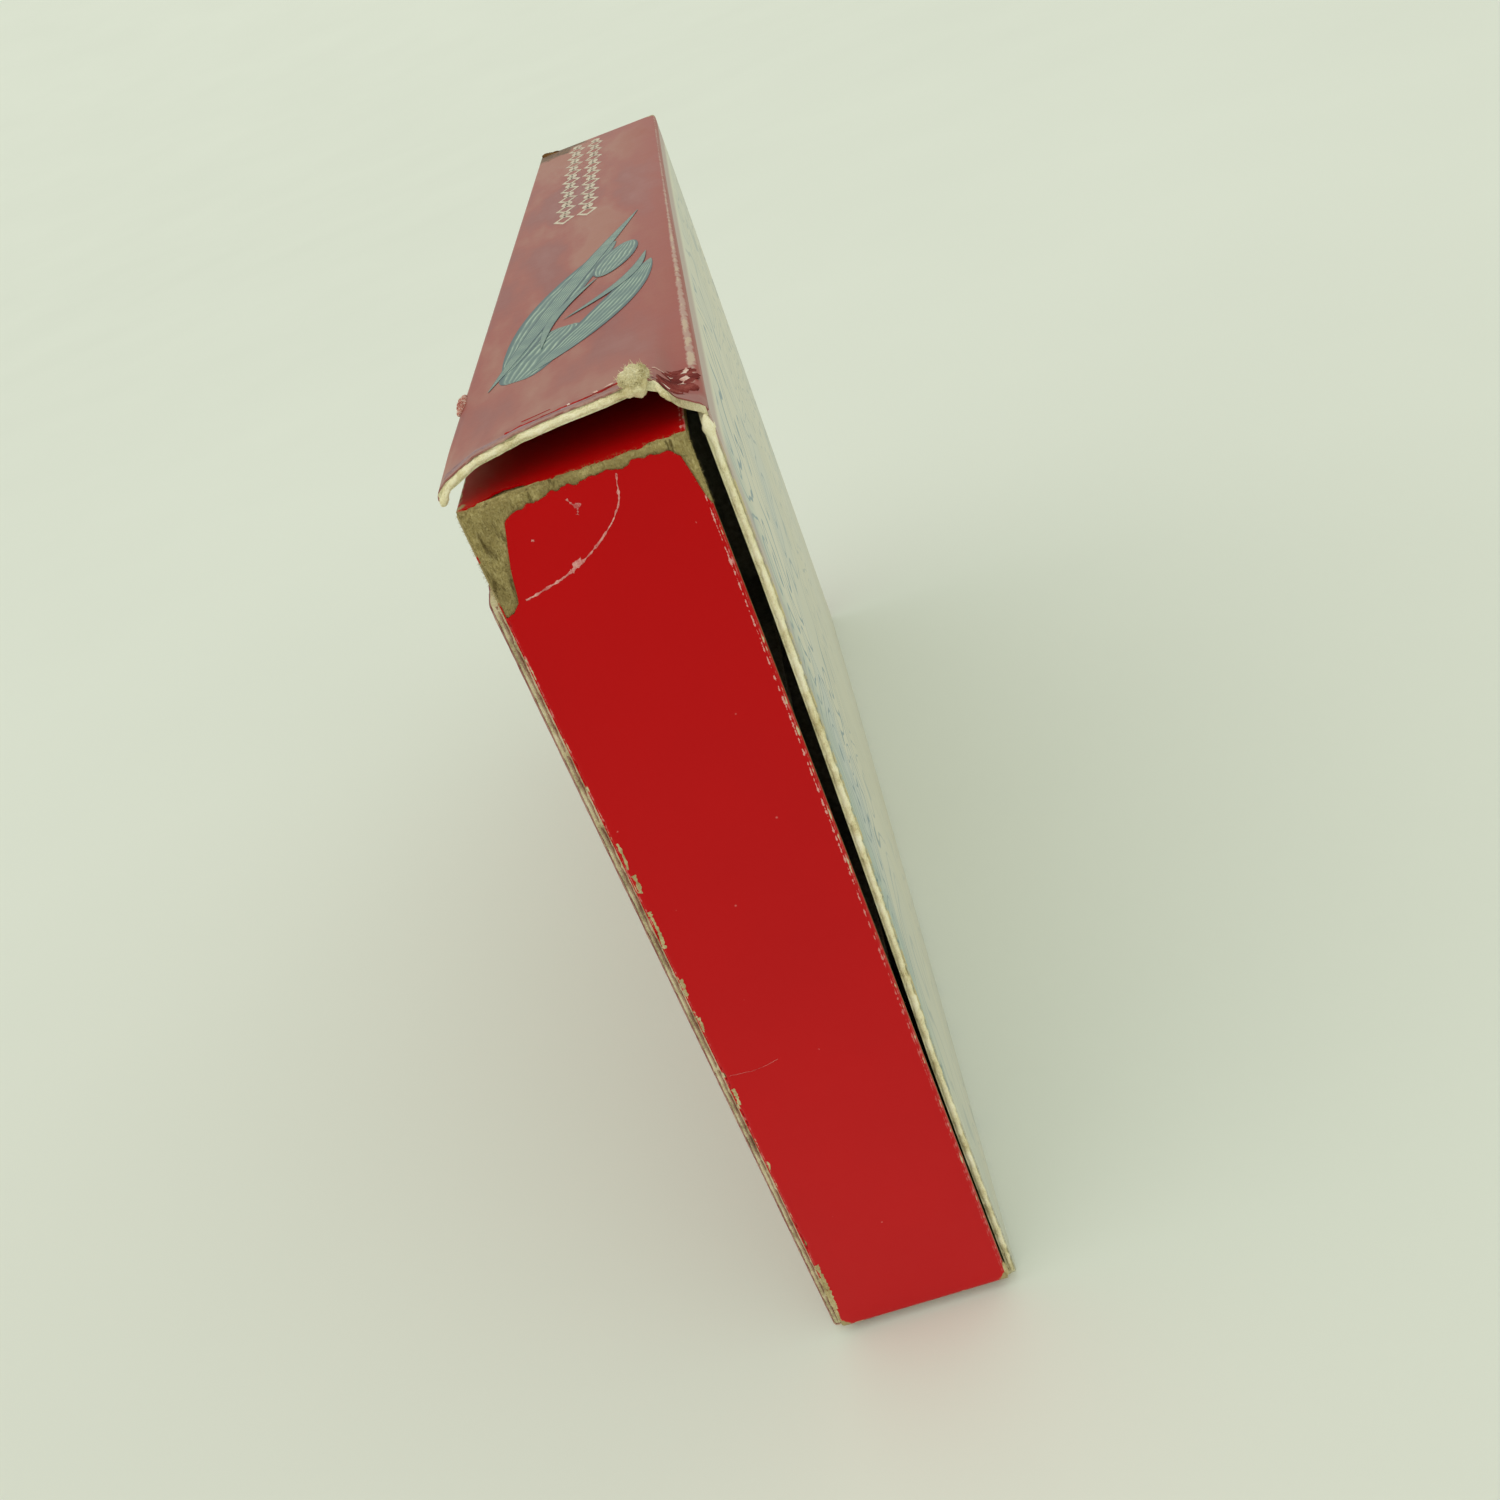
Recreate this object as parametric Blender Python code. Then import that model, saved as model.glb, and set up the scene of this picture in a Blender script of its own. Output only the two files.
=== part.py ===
"""Bookshelf board game box: a printed slipcase sleeve and the red tray that slides out of its mouth.

Z is up with the box standing on its narrow lower wall like a book, and the sleeve's mouth faces -Y.
X is the thickness: the left cover is at -X and the right cover at +X, and the tray's open side faces +X.
The origin is the middle of the bottom of the whole box. All sizes are in metres.
"""

import math

import bmesh
import bpy
from mathutils import Vector

# Driving dimensions
BOX_DEPTH = 0.355            # tray front to the outside of the closed end
SLEEVE_WIDTH = 0.0438        # across both covers
SLEEVE_HEIGHT = 0.2114       # lower wall to spine
COVER_BOW = 0.0016           # how far the slack right cover stands out at the mouth
SPINE_LIFT = 0.005           # how far the spine arches up at the mouth, where its fold has split
SPLIT_DEPTH = 0.062          # how far the split fold runs in from the mouth
TORN_HEIGHT = 0.021          # missing corner of the left cover, down the mouth
BOARD = 0.0015               # chipboard
GLUE = 0.0001                # between board and printed paper
PAPER = 0.0003               # printed or coloured paper
TRAY_WIDTH = 0.0386          # across the red front
TRAY_HEIGHT = 0.205
TRAY_PROUD = 0.003           # tray front stands out of the mouth
GAP_LEFT = 0.0004            # tray to sleeve, left cover side
GAP_BELOW = 0.0006
GAP_BEHIND = 0.001
TOUCH = 0.0003               # clearance between pieces that touch
TORN_CORNER = (0.0055, 0.020)  # piece missing from the red front paper: across and down
TORN_STRIP = 0.0021          # strip missing along the top of that paper
DIVIDER = 0.0012             # card of the dividers and the platform
DIVIDER_DROP = 0.002         # dividers stop below the tray's open side
FRONT_CELLS_DEPTH = 0.096
PLATFORM_RISE = 0.015        # height of the platform over the tray's base
LEAF_BOARD = 0.0018          # one leaf of the folded playing board
LEAF_LENGTH = 0.246
LEAF_HEIGHT = 0.198
COUNTER_SHEET = (0.0016, 0.236, 0.188)   # thickness, length and height
BOOKLET = (0.002, 0.215, 0.192)          # thickness, length and height
STAPLE = (0.0006, 0.0005, 0.012)         # wire across and along, and the staple's length
STAPLE_HEIGHTS = (0.050, 0.135)
CARD_LENGTH = 0.088
CARD_HEIGHT = 0.063
CARD_CORNER = 0.003
DECK_THICKNESS = (0.022, 0.019)
DIE_EDGE = 0.014
DIE_ROUNDING = 0.0018
PAWN_HEIGHT = 0.024
PAWN_RADIUS = 0.0065
PAWN_HEAD = 0.0042
PAWN_PITCH = (0.0165, 0.0175)            # between pawns across the cell and along it

# Places worked out from them
WALL = BOARD + GLUE + PAPER
SLEEVE_LEFT = -(SLEEVE_WIDTH + COVER_BOW) / 2
SLEEVE_RIGHT = SLEEVE_LEFT + SLEEVE_WIDTH
FRONT_Y = -BOX_DEPTH / 2
BACK_Y = BOX_DEPTH / 2
MOUTH_Y = FRONT_Y + TRAY_PROUD
TRAY_LEFT = SLEEVE_LEFT + WALL + GAP_LEFT
TRAY_RIGHT = TRAY_LEFT + TRAY_WIDTH
TRAY_BOTTOM = WALL + GAP_BELOW
TRAY_TOP = TRAY_BOTTOM + TRAY_HEIGHT
TRAY_BACK = BACK_Y - WALL - GAP_BEHIND
FLOOR_X = TRAY_LEFT + WALL                     # inner face of the tray's base
INNER_FRONT = FRONT_Y + WALL
INNER_BACK = TRAY_BACK - WALL
INNER_BOTTOM = TRAY_BOTTOM + WALL
INNER_TOP = TRAY_TOP - WALL

BLUE_GREY = (0.20, 0.27, 0.30)
CREAM = (0.72, 0.66, 0.50)
CHIPBOARD = (0.45, 0.38, 0.24)
DUSTY_RED = (0.38, 0.09, 0.09)
TRAY_RED = (0.42, 0.01, 0.01)
WHITE_CARD = (0.80, 0.78, 0.72)
COUNTER_TAN = (0.35, 0.30, 0.18)
STEEL = (0.5, 0.5, 0.5)
PAWN_COLOURS = ((0.55, 0.04, 0.03), (0.05, 0.13, 0.38), (0.75, 0.55, 0.08),
                (0.05, 0.25, 0.10), (0.75, 0.72, 0.65), (0.03, 0.03, 0.03))


def new_material(name, colour, roughness, metallic=0.0):
    """A plain finish in one colour."""
    material = bpy.data.materials.new(name)
    material.use_nodes = True
    shader = material.node_tree.nodes["Principled BSDF"]
    shader.inputs["Base Color"].default_value = (*colour, 1.0)
    shader.inputs["Roughness"].default_value = roughness
    shader.inputs["Metallic"].default_value = metallic
    material.diffuse_color = (*colour, 1.0)
    return material


def add_node(name, bm, location, colour, parent, roughness=0.75, metallic=0.0):
    """Turns a bmesh into one named piece at its place."""
    bmesh.ops.recalc_face_normals(bm, faces=bm.faces)
    mesh = bpy.data.meshes.new(name)
    bm.to_mesh(mesh)
    bm.free()
    piece = bpy.data.objects.new(name, mesh)
    piece.location = location
    piece.parent = parent
    mesh.materials.append(new_material(name, colour, roughness, metallic))
    bpy.context.scene.collection.objects.link(piece)
    return piece


def add_block(name, low, high, colour, parent, roughness=0.75, metallic=0.0, corner=0.0):
    """A flat board or block between two corners; `corner` rounds its edges along X."""
    low = Vector(low)
    high = Vector(high)
    size = high - low
    bm = bmesh.new()
    bmesh.ops.create_cube(bm, size=1.0)
    bmesh.ops.scale(bm, vec=size, verts=bm.verts)
    if corner:
        edges = [e for e in bm.edges if abs(e.verts[0].co.x - e.verts[1].co.x) > 1e-6]
        bmesh.ops.bevel(bm, geom=edges, offset=corner, segments=4, affect="EDGES", profile=0.5)
    return add_node(name, bm, (low + high) / 2, colour, parent, roughness, metallic)


def add_slab(name, origin, axes, stops, row_at, thickness, bend, colour, parent):
    """A board whose outline and bend vary along it.

    axes are the directions of its length, its width and its thickness. stops are the places along
    the length where it has a row of points, row_at(u) gives the places of those points across it,
    and bend(u, v) gives how far a point there is moved.
    """
    along, across, normal = (Vector(a) for a in axes)
    bm = bmesh.new()
    layers = []
    for depth in (0.0, thickness):
        rows = []
        for u in stops:
            places = (along * u + across * v + normal * depth + Vector(bend(u, v)) for v in row_at(u))
            rows.append([bm.verts.new(place) for place in places])
        layers.append(rows)
    inner, outer = layers
    last_row = len(stops) - 1
    last_column = len(inner[0]) - 1
    for i in range(last_row):
        for k in range(last_column):
            for rows in layers:
                bm.faces.new((rows[i][k], rows[i + 1][k], rows[i + 1][k + 1], rows[i][k + 1]))
        for k in (0, last_column):
            bm.faces.new((inner[i][k], inner[i + 1][k], outer[i + 1][k], outer[i][k]))
    for i in (0, last_row):
        for k in range(last_column):
            bm.faces.new((inner[i][k], inner[i][k + 1], outer[i][k + 1], outer[i][k]))
    return add_node(name, bm, origin, colour, parent)


def even_stops(length, count):
    """Evenly spaced places from 0 to length."""
    return [length * i / count for i in range(count + 1)]


def unbent(u, v):
    """A flat board."""
    return (0, 0, 0)


def cover_bow(u, z):
    """The right cover's stand-off: strongest at the mouth and over the upper two thirds."""
    height = z / SLEEVE_HEIGHT
    up = (1 - (1 - height) ** 3) * (1 - 0.5 * height ** 6)
    greatest_up = 0.905
    bowed_depth = 0.8 * BOX_DEPTH
    inward = max(0.0, 1 - u / bowed_depth) ** 1.5
    return COVER_BOW * up / greatest_up * inward


def spine_rise(u, v, width):
    """The spine's arch over the mouth: low at its free left corner, high to the right of the middle."""
    across = min(max(v / width, 0.0), 1.0)
    left_end = 0.15
    arch = min(1.0, left_end + 2.4 * across - 1.7 * across ** 2)
    right_shoulder = 0.12
    right_end = min(1.0, (1.0 - across) / right_shoulder) ** 0.5
    inward = max(0.0, 1 - u / SPLIT_DEPTH) ** 1.6
    return SPINE_LIFT * arch * right_end * inward


def torn_cover_top(u):
    """How much of the left cover is missing below its upper edge, along the split fold."""
    missing = TORN_HEIGHT * max(0.0, 1 - u / SPLIT_DEPTH) ** 0.8
    wave_height = 0.0012
    waves_per_metre = 83
    if not 0.004 < u < 0.85 * SPLIT_DEPTH:
        return missing
    return missing + wave_height * math.sin(2 * math.pi * waves_per_metre * u)


def make_sleeve():
    """Five chipboard walls, each covered by its own panel of the printed sheet."""
    length = BACK_Y - MOUTH_Y
    skin = PAPER + GLUE
    split = even_stops(SPLIT_DEPTH, 8)

    cover_axes = ((0, 1, 0), (0, 0, 1), (1, 0, 0))
    board_height = SLEEVE_HEIGHT - 2 * skin
    add_slab("left_cover_board", (SLEEVE_LEFT + skin, MOUTH_Y, skin), cover_axes, split + [length - skin],
             lambda u: (0.0, board_height - torn_cover_top(u)), BOARD, unbent, CHIPBOARD, None)
    add_slab("left_cover_sheet", (SLEEVE_LEFT, MOUTH_Y, 0.0), cover_axes, split + [length],
             lambda u: (0.0, SLEEVE_HEIGHT - torn_cover_top(u)), PAPER, unbent, DUSTY_RED, None)

    heights = [skin + z for z in even_stops(board_height, 12)]
    bow_stops = even_stops(length - skin, 10)
    add_slab("right_cover_board", (SLEEVE_RIGHT - WALL, MOUTH_Y, 0.0), cover_axes, bow_stops,
             lambda u: heights, BOARD, lambda u, v: (cover_bow(u, v), 0, 0), CHIPBOARD, None)
    add_slab("right_cover_sheet", (SLEEVE_RIGHT - PAPER, MOUTH_Y, 0.0), cover_axes, bow_stops + [length],
             lambda u: [0.0] + heights + [SLEEVE_HEIGHT], PAPER,
             lambda u, v: (cover_bow(u, v), 0, 0), CREAM, None)

    board_left = SLEEVE_LEFT + WALL + TOUCH
    board_width = SLEEVE_WIDTH - 2 * WALL - 2 * TOUCH
    board_right = board_left + board_width
    margin = BOARD + TOUCH
    widths = even_stops(board_width, 12)
    spine_axes = ((0, 1, 0), (1, 0, 0), (0, 0, 1))
    add_slab("spine_board", (board_left, MOUTH_Y, SLEEVE_HEIGHT - WALL), spine_axes,
             split + [length - WALL - TOUCH], lambda u: widths, BOARD,
             lambda u, v: (0, 0, spine_rise(u, v, board_width)), CHIPBOARD, None)
    add_slab("spine_sheet", (board_left, MOUTH_Y, SLEEVE_HEIGHT - PAPER), spine_axes, split + [length - skin],
             lambda u: [-margin] + widths + [board_width + margin], PAPER,
             lambda u, v: (0, 0, spine_rise(u, v, board_width)), DUSTY_RED, None)

    sheet_left = board_left - margin
    sheet_right = board_right + margin
    add_block("lower_wall_board", (board_left, MOUTH_Y, skin), (board_right, BACK_Y - WALL - TOUCH, WALL),
              CHIPBOARD, None)
    add_block("lower_wall_sheet", (sheet_left, MOUTH_Y, 0.0), (sheet_right, BACK_Y - skin, PAPER),
              DUSTY_RED, None)
    add_block("closed_end_board", (board_left, BACK_Y - WALL, WALL + TOUCH),
              (board_right, BACK_Y - skin, SLEEVE_HEIGHT - WALL - TOUCH), CHIPBOARD, None)
    add_block("closed_end_sheet", (sheet_left, BACK_Y - PAPER, skin),
              (sheet_right, BACK_Y, SLEEVE_HEIGHT - skin), DUSTY_RED, None)


def front_sheet_top(u):
    """The red front paper is torn off over the upper corner by the base and along the top edge."""
    across, down = TORN_CORNER
    if u < across:
        return down - 0.35 * u
    wave_height = 0.0009
    waves_per_metre = 143
    return TORN_STRIP + wave_height * math.sin(2 * math.pi * waves_per_metre * u)


def make_tray(tray):
    """A one-side-open box of chipboard with red paper over it; its base is on the left cover's side."""
    skin = PAPER + GLUE
    add_block("tray_base_board", (TRAY_LEFT + skin, INNER_FRONT + TOUCH, INNER_BOTTOM + TOUCH),
              (FLOOR_X, INNER_BACK - TOUCH, INNER_TOP - TOUCH), CHIPBOARD, tray)
    add_block("tray_base_sheet", (TRAY_LEFT, FRONT_Y + skin, TRAY_BOTTOM + skin),
              (TRAY_LEFT + PAPER, TRAY_BACK - skin, TRAY_TOP - skin), TRAY_RED, tray, 0.4)
    low = TRAY_BOTTOM + skin
    high = TRAY_TOP - skin
    for name, outside, inward in (("front", FRONT_Y, 1), ("rear", TRAY_BACK, -1)):
        board = sorted((outside + inward * skin, outside + inward * WALL))
        add_block(f"tray_{name}_board", (TRAY_LEFT + skin, board[0], low), (TRAY_RIGHT, board[1], high),
                  CHIPBOARD, tray)
    add_block("tray_rear_sheet", (TRAY_LEFT, TRAY_BACK - PAPER, TRAY_BOTTOM),
              (TRAY_RIGHT, TRAY_BACK, TRAY_TOP), TRAY_RED, tray, 0.4)
    torn = TORN_CORNER[0]
    step = 0.0001
    columns = even_stops(torn - step, 2) + [torn + step + u for u in even_stops(TRAY_WIDTH - torn - step, 16)]
    add_slab("tray_front_sheet", (TRAY_LEFT, FRONT_Y + PAPER, TRAY_BOTTOM), ((1, 0, 0), (0, 0, 1), (0, -1, 0)),
             columns, lambda u: (0.0, TRAY_HEIGHT - front_sheet_top(u)), PAPER, unbent, TRAY_RED, tray)
    for name, outside, inward in (("lower", TRAY_BOTTOM, 1), ("upper", TRAY_TOP, -1)):
        board = sorted((outside + inward * skin, outside + inward * WALL))
        sheet = sorted((outside, outside + inward * PAPER))
        add_block(f"tray_{name}_board", (TRAY_LEFT + skin, INNER_FRONT + TOUCH, board[0]),
                  (TRAY_RIGHT, INNER_BACK - TOUCH, board[1]), CHIPBOARD, tray)
        add_block(f"tray_{name}_sheet", (TRAY_LEFT + skin, FRONT_Y + skin, sheet[0]),
                  (TRAY_RIGHT, TRAY_BACK - skin, sheet[1]), TRAY_RED, tray, 0.4)


def make_dividers(tray):
    """Card dividers make three cells behind the front wall, and a raised platform fills the rest."""
    across_y = INNER_FRONT + FRONT_CELLS_DEPTH
    rim = TRAY_RIGHT - DIVIDER_DROP
    add_block("cell_divider_across", (FLOOR_X + TOUCH, across_y, INNER_BOTTOM + TOUCH),
              (rim, across_y + DIVIDER, INNER_TOP - TOUCH), WHITE_CARD, tray)
    pitch = (INNER_TOP - INNER_BOTTOM + DIVIDER) / 3
    for i in (1, 2):
        z = INNER_BOTTOM + i * pitch - DIVIDER
        add_block(f"cell_divider_{i}", (FLOOR_X + TOUCH, INNER_FRONT + TOUCH, z),
                  (rim, across_y - TOUCH, z + DIVIDER), WHITE_CARD, tray)
    front = across_y + DIVIDER + TOUCH
    back = INNER_BACK - TOUCH
    top = FLOOR_X + PLATFORM_RISE
    add_block("platform_top", (top - DIVIDER, front, INNER_BOTTOM + TOUCH), (top, back, INNER_TOP - TOUCH),
              WHITE_CARD, tray)
    for name, y in (("platform_leg_front", front), ("platform_leg_back", back - DIVIDER)):
        add_block(name, (FLOOR_X + TOUCH, y, INNER_BOTTOM + TOUCH),
                  (top - DIVIDER - TOUCH, y + DIVIDER, INNER_TOP - TOUCH), WHITE_CARD, tray)


def make_playing_board(tray):
    """Four leaves folded on three strips of hinge tape, then counter sheets and the rules booklet."""
    y = (INNER_FRONT + FRONT_CELLS_DEPTH + DIVIDER + INNER_BACK - LEAF_LENGTH) / 2
    z = INNER_BOTTOM + 2 * TOUCH
    x = FLOOR_X + PLATFORM_RISE + TOUCH
    leaf_x = []
    for i in range(4):
        leaf_x.append(x)
        add_block(f"playing_board_leaf_{i + 1}", (x, y, z), (x + LEAF_BOARD, y + LEAF_LENGTH, z + LEAF_HEIGHT),
                  BLUE_GREY, tray, 0.5)
        x += LEAF_BOARD + TOUCH
    for i in (0, 2):
        add_block(f"hinge_tape_{i + 1}{i + 2}", (leaf_x[i], y + LEAF_LENGTH + TOUCH, z),
                  (leaf_x[i + 1] + LEAF_BOARD, y + LEAF_LENGTH + 2 * TOUCH, z + LEAF_HEIGHT), DUSTY_RED, tray)
    add_block("hinge_tape_23", (leaf_x[1], y, z + LEAF_HEIGHT + TOUCH),
              (leaf_x[2] + LEAF_BOARD, y + LEAF_LENGTH, z + LEAF_HEIGHT + 2 * TOUCH), DUSTY_RED, tray)
    for i in (1, 2):
        sheet = Vector((x, y + 0.004, z))
        add_block(f"counter_sheet_{i}", sheet, sheet + Vector(COUNTER_SHEET), COUNTER_TAN, tray, 0.6)
        x += COUNTER_SHEET[0] + TOUCH
    booklet = Vector((x, y + 0.010, z))
    add_block("rules_booklet", booklet, booklet + Vector(BOOKLET), WHITE_CARD, tray)
    for i, height in enumerate(STAPLE_HEIGHTS, start=1):
        staple = booklet + Vector(((BOOKLET[0] - STAPLE[0]) / 2, -TOUCH - STAPLE[1], height))
        add_block(f"booklet_staple_{i}", staple, staple + Vector(STAPLE), STEEL, tray, 0.3, metallic=0.9)


def make_cards(tray):
    """Two decks of cards on edge, one in each of the upper cells."""
    pitch = (INNER_TOP - INNER_BOTTOM + DIVIDER) / 3
    y = INNER_FRONT + (FRONT_CELLS_DEPTH - CARD_LENGTH) / 2
    for i, thickness in enumerate(DECK_THICKNESS, start=1):
        z = INNER_BOTTOM + i * pitch + TOUCH
        add_block(f"card_deck_{i}", (FLOOR_X + TOUCH, y, z),
                  (FLOOR_X + TOUCH + thickness, y + CARD_LENGTH, z + CARD_HEIGHT), WHITE_CARD, tray, 0.35,
                  corner=CARD_CORNER)


def pawn_mesh():
    """A turned pawn: a wide foot, a waist and a ball head."""
    radius = PAWN_RADIUS
    head = PAWN_HEAD
    head_height = PAWN_HEIGHT - head
    neck_height = head_height - head + 0.0006
    profile = [(0.0, 0.0), (radius, 0.0), (radius, 0.0022), (0.85 * radius, 0.0042), (0.5 * radius, 0.0088),
               (0.36 * radius, neck_height)]
    neck_angle = -52
    steps = 5
    for k in range(1, steps):
        angle = math.radians(neck_angle + (90 - neck_angle) * k / steps)
        profile.append((head * math.cos(angle), head_height + head * math.sin(angle)))
    profile.append((0.0, PAWN_HEIGHT))
    bm = bmesh.new()
    verts = [bm.verts.new((r, 0.0, z)) for r, z in profile]
    edges = [bm.edges.new(pair) for pair in zip(verts, verts[1:])]
    bmesh.ops.spin(bm, geom=verts + edges, cent=(0, 0, 0), axis=(0, 0, 1), angle=2 * math.pi, steps=20,
                   use_duplicate=False)
    bmesh.ops.remove_doubles(bm, verts=bm.verts, dist=1e-6)
    return bm


def make_pieces(tray):
    """Six pawns and two dice on the lowest cell's bottom wall."""
    z = INNER_BOTTOM + TOUCH
    first_x = FLOOR_X + 0.0085
    first_y = INNER_FRONT + 0.012
    for i, colour in enumerate(PAWN_COLOURS):
        x = first_x + PAWN_PITCH[0] * (i % 2)
        y = first_y + PAWN_PITCH[1] * (i // 2)
        pawn = add_node(f"pawn_{i + 1}", pawn_mesh(), (x, y, z), colour, tray, 0.35)
        pawn.data.shade_smooth()
        pawn.data.set_sharp_from_angle(angle=math.radians(40))
    for i, (x, y) in enumerate(((0.004, 0.053), (0.008, 0.071)), start=1):
        bm = bmesh.new()
        bmesh.ops.create_cube(bm, size=DIE_EDGE)
        bmesh.ops.bevel(bm, geom=bm.edges[:], offset=DIE_ROUNDING, segments=3, affect="EDGES", profile=0.5)
        centre = (first_x + x, first_y + y, z + DIE_EDGE / 2)
        die = add_node(f"die_{i}", bm, centre, WHITE_CARD, tray, 0.3)
        die.data.shade_smooth()
        die.data.set_sharp_from_angle(angle=math.radians(50))


def main():
    """Builds the sleeve and, on the empty that slides, the tray and everything in it."""
    for old in list(bpy.data.objects):
        bpy.data.objects.remove(old, do_unlink=True)
    tray = bpy.data.objects.new("tray_slide", None)
    bpy.context.scene.collection.objects.link(tray)
    make_sleeve()
    make_tray(tray)
    make_dividers(tray)
    make_playing_board(tray)
    make_cards(tray)
    make_pieces(tray)


main()
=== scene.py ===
import math

import bpy
import numpy as np
from mathutils import Matrix, Vector, noise


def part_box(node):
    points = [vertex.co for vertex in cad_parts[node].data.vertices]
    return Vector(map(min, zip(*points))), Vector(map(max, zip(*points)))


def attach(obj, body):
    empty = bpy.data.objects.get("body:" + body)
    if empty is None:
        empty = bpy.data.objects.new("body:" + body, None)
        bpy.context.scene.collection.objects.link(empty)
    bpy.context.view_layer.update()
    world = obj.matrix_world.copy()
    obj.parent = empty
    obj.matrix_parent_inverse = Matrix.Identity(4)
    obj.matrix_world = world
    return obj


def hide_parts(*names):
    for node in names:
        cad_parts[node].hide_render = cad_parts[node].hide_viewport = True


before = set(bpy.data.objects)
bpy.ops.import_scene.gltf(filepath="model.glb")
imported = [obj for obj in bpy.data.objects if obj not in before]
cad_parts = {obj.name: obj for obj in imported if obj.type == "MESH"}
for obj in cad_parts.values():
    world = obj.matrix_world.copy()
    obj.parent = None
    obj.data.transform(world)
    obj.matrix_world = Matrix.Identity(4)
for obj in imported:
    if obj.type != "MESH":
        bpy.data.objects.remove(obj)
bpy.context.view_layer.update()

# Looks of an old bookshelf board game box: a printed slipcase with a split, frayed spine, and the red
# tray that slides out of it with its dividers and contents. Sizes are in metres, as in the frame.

MM = 0.001


# ---------------------------------------------------------------------------------------------------
# Camera, floor and light: the box stands on a plain pale table under soft, even studio light, seen
# from in front of the mouth, a little to the right and from above.
# ---------------------------------------------------------------------------------------------------

def hex_colour(text):
    """An sRGB hex colour as linear RGBA."""
    parts = [int(text[i:i + 2], 16) / 255 for i in (0, 2, 4)]
    return (*[c / 12.92 if c <= 0.04045 else ((c + 0.055) / 1.055) ** 2.4 for c in parts], 1.0)


def feed(node, *values, **more):
    """Fills a node's inputs in order, then those named with a capital; small-letter names are its settings."""
    if "stops" in more:
        stops, elements = more.pop("stops"), node.color_ramp.elements
        for element, stop in ((elements[0], stops[0]), (elements[1], stops[-1])):
            element.position, element.color = stop[0], hex_colour(stop[1])
        for position, tone in stops[1:-1]:
            elements.new(position).color = hex_colour(tone)
    for setting in [key for key in more if key[0].islower()]:
        setattr(node, setting, more.pop(setting))
    named = [(node.inputs[key.replace("_", " ")], value) for key, value in more.items()]
    for socket, value in [*zip([s for s in node.inputs if s.enabled], values), *named]:
        if isinstance(value, bpy.types.Node):
            value = next(s for s in value.outputs if s.enabled)
        if isinstance(value, bpy.types.NodeSocket):
            node.id_data.links.new(value, socket)
        else:
            socket.default_value = hex_colour(value) if isinstance(value, str) else value
    return node


def add(tree, kind, *values, **more):
    """Adds one node with its settings and links; a maths node's kind ends in what it does."""
    kind, _, operation = kind.partition(" ")
    if operation:
        more["operation"] = operation
    return feed(tree.nodes.new(kind if "Node" in kind else "ShaderNode" + kind), *values, **more)


def new_finish(name):
    """An empty material with its shader, its output and the place on the piece."""
    finish = bpy.data.materials.new(name)
    finish.use_nodes = True
    tree = finish.node_tree
    tree.nodes.clear()
    shader = add(tree, "BsdfPrincipled")
    add(tree, "OutputMaterial", shader)
    return finish, tree, shader, add(tree, "TexCoord").outputs["Object"]


tray_low, tray_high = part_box("tray_rear_sheet")
FRONT_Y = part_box("tray_front_sheet")[0].y
EYE_FROM_TRAY_CORNER = Vector((55.9, -225.9, 274.7)) * MM
eye_right = Vector((0.9421, -0.0728, -0.3272))
eye_down = Vector((-0.3193, -0.4920, -0.8099))

eye = bpy.data.objects.new("camera", bpy.data.cameras.new("camera"))
eye.data.lens = 36.0
eye.data.sensor_width = 36.0
eye.data.clip_start = 0.01
right = eye_right.normalized()
up = -(eye_down - right * eye_down.dot(right)).normalized()
turn = Matrix((right, up, right.cross(up))).transposed()
tray_corner = Vector((tray_low.x, FRONT_Y, tray_low.z))
eye.matrix_world = Matrix.Translation(tray_corner + EYE_FROM_TRAY_CORNER) @ turn.to_4x4()
bpy.context.scene.collection.objects.link(eye)
bpy.context.scene.camera = eye
bpy.context.scene.view_settings.view_transform = "Standard"

floor_mesh = bpy.data.meshes.new("floor")
SPOKES = 96
rings = [(r, 0.0) for r in (0.6, 1.4, 2.6)] + [(2.6 + 0.5 * k, 0.012 * k ** 2) for k in range(1, 11)]
points = [(0.0, 0.0, 0.0)] + [
    (r * math.cos(2 * math.pi * k / SPOKES), r * math.sin(2 * math.pi * k / SPOKES), h)
    for r, h in rings for k in range(SPOKES)]
faces = [(0, 1 + k, 1 + (k + 1) % SPOKES) for k in range(SPOKES)]
for ring in range(len(rings) - 1):
    first = 1 + ring * SPOKES
    faces += [(first + k, first + SPOKES + k, first + SPOKES + (k + 1) % SPOKES, first + (k + 1) % SPOKES)
              for k in range(SPOKES)]
floor_mesh.from_pydata(points, [], faces)
floor_mesh.shade_smooth()
floor = bpy.data.objects.new("floor", floor_mesh)
bpy.context.scene.collection.objects.link(floor)
finish, tree, shader, place = new_finish("pale_table_cloth")
cloudy = add(tree, "TexNoise", place, Scale=4.0, Detail=3.0)
tint = add(tree, "ValToRGB", cloudy, stops=((0.3, "E3E6DC"), (0.7, "E5E8DE")))
feed(shader, Base_Color=tint)
feed(shader, Roughness=0.9)
feed(shader, Specular_IOR_Level=0.1)
floor_mesh.materials.append(finish)

world = bpy.data.worlds.new("soft_room")
world.use_nodes = True
feed(world.node_tree.nodes["Background"], Color=hex_colour("EFF4E9"))
feed(world.node_tree.nodes["Background"], Strength=0.86)
bpy.context.scene.world = world

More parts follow.
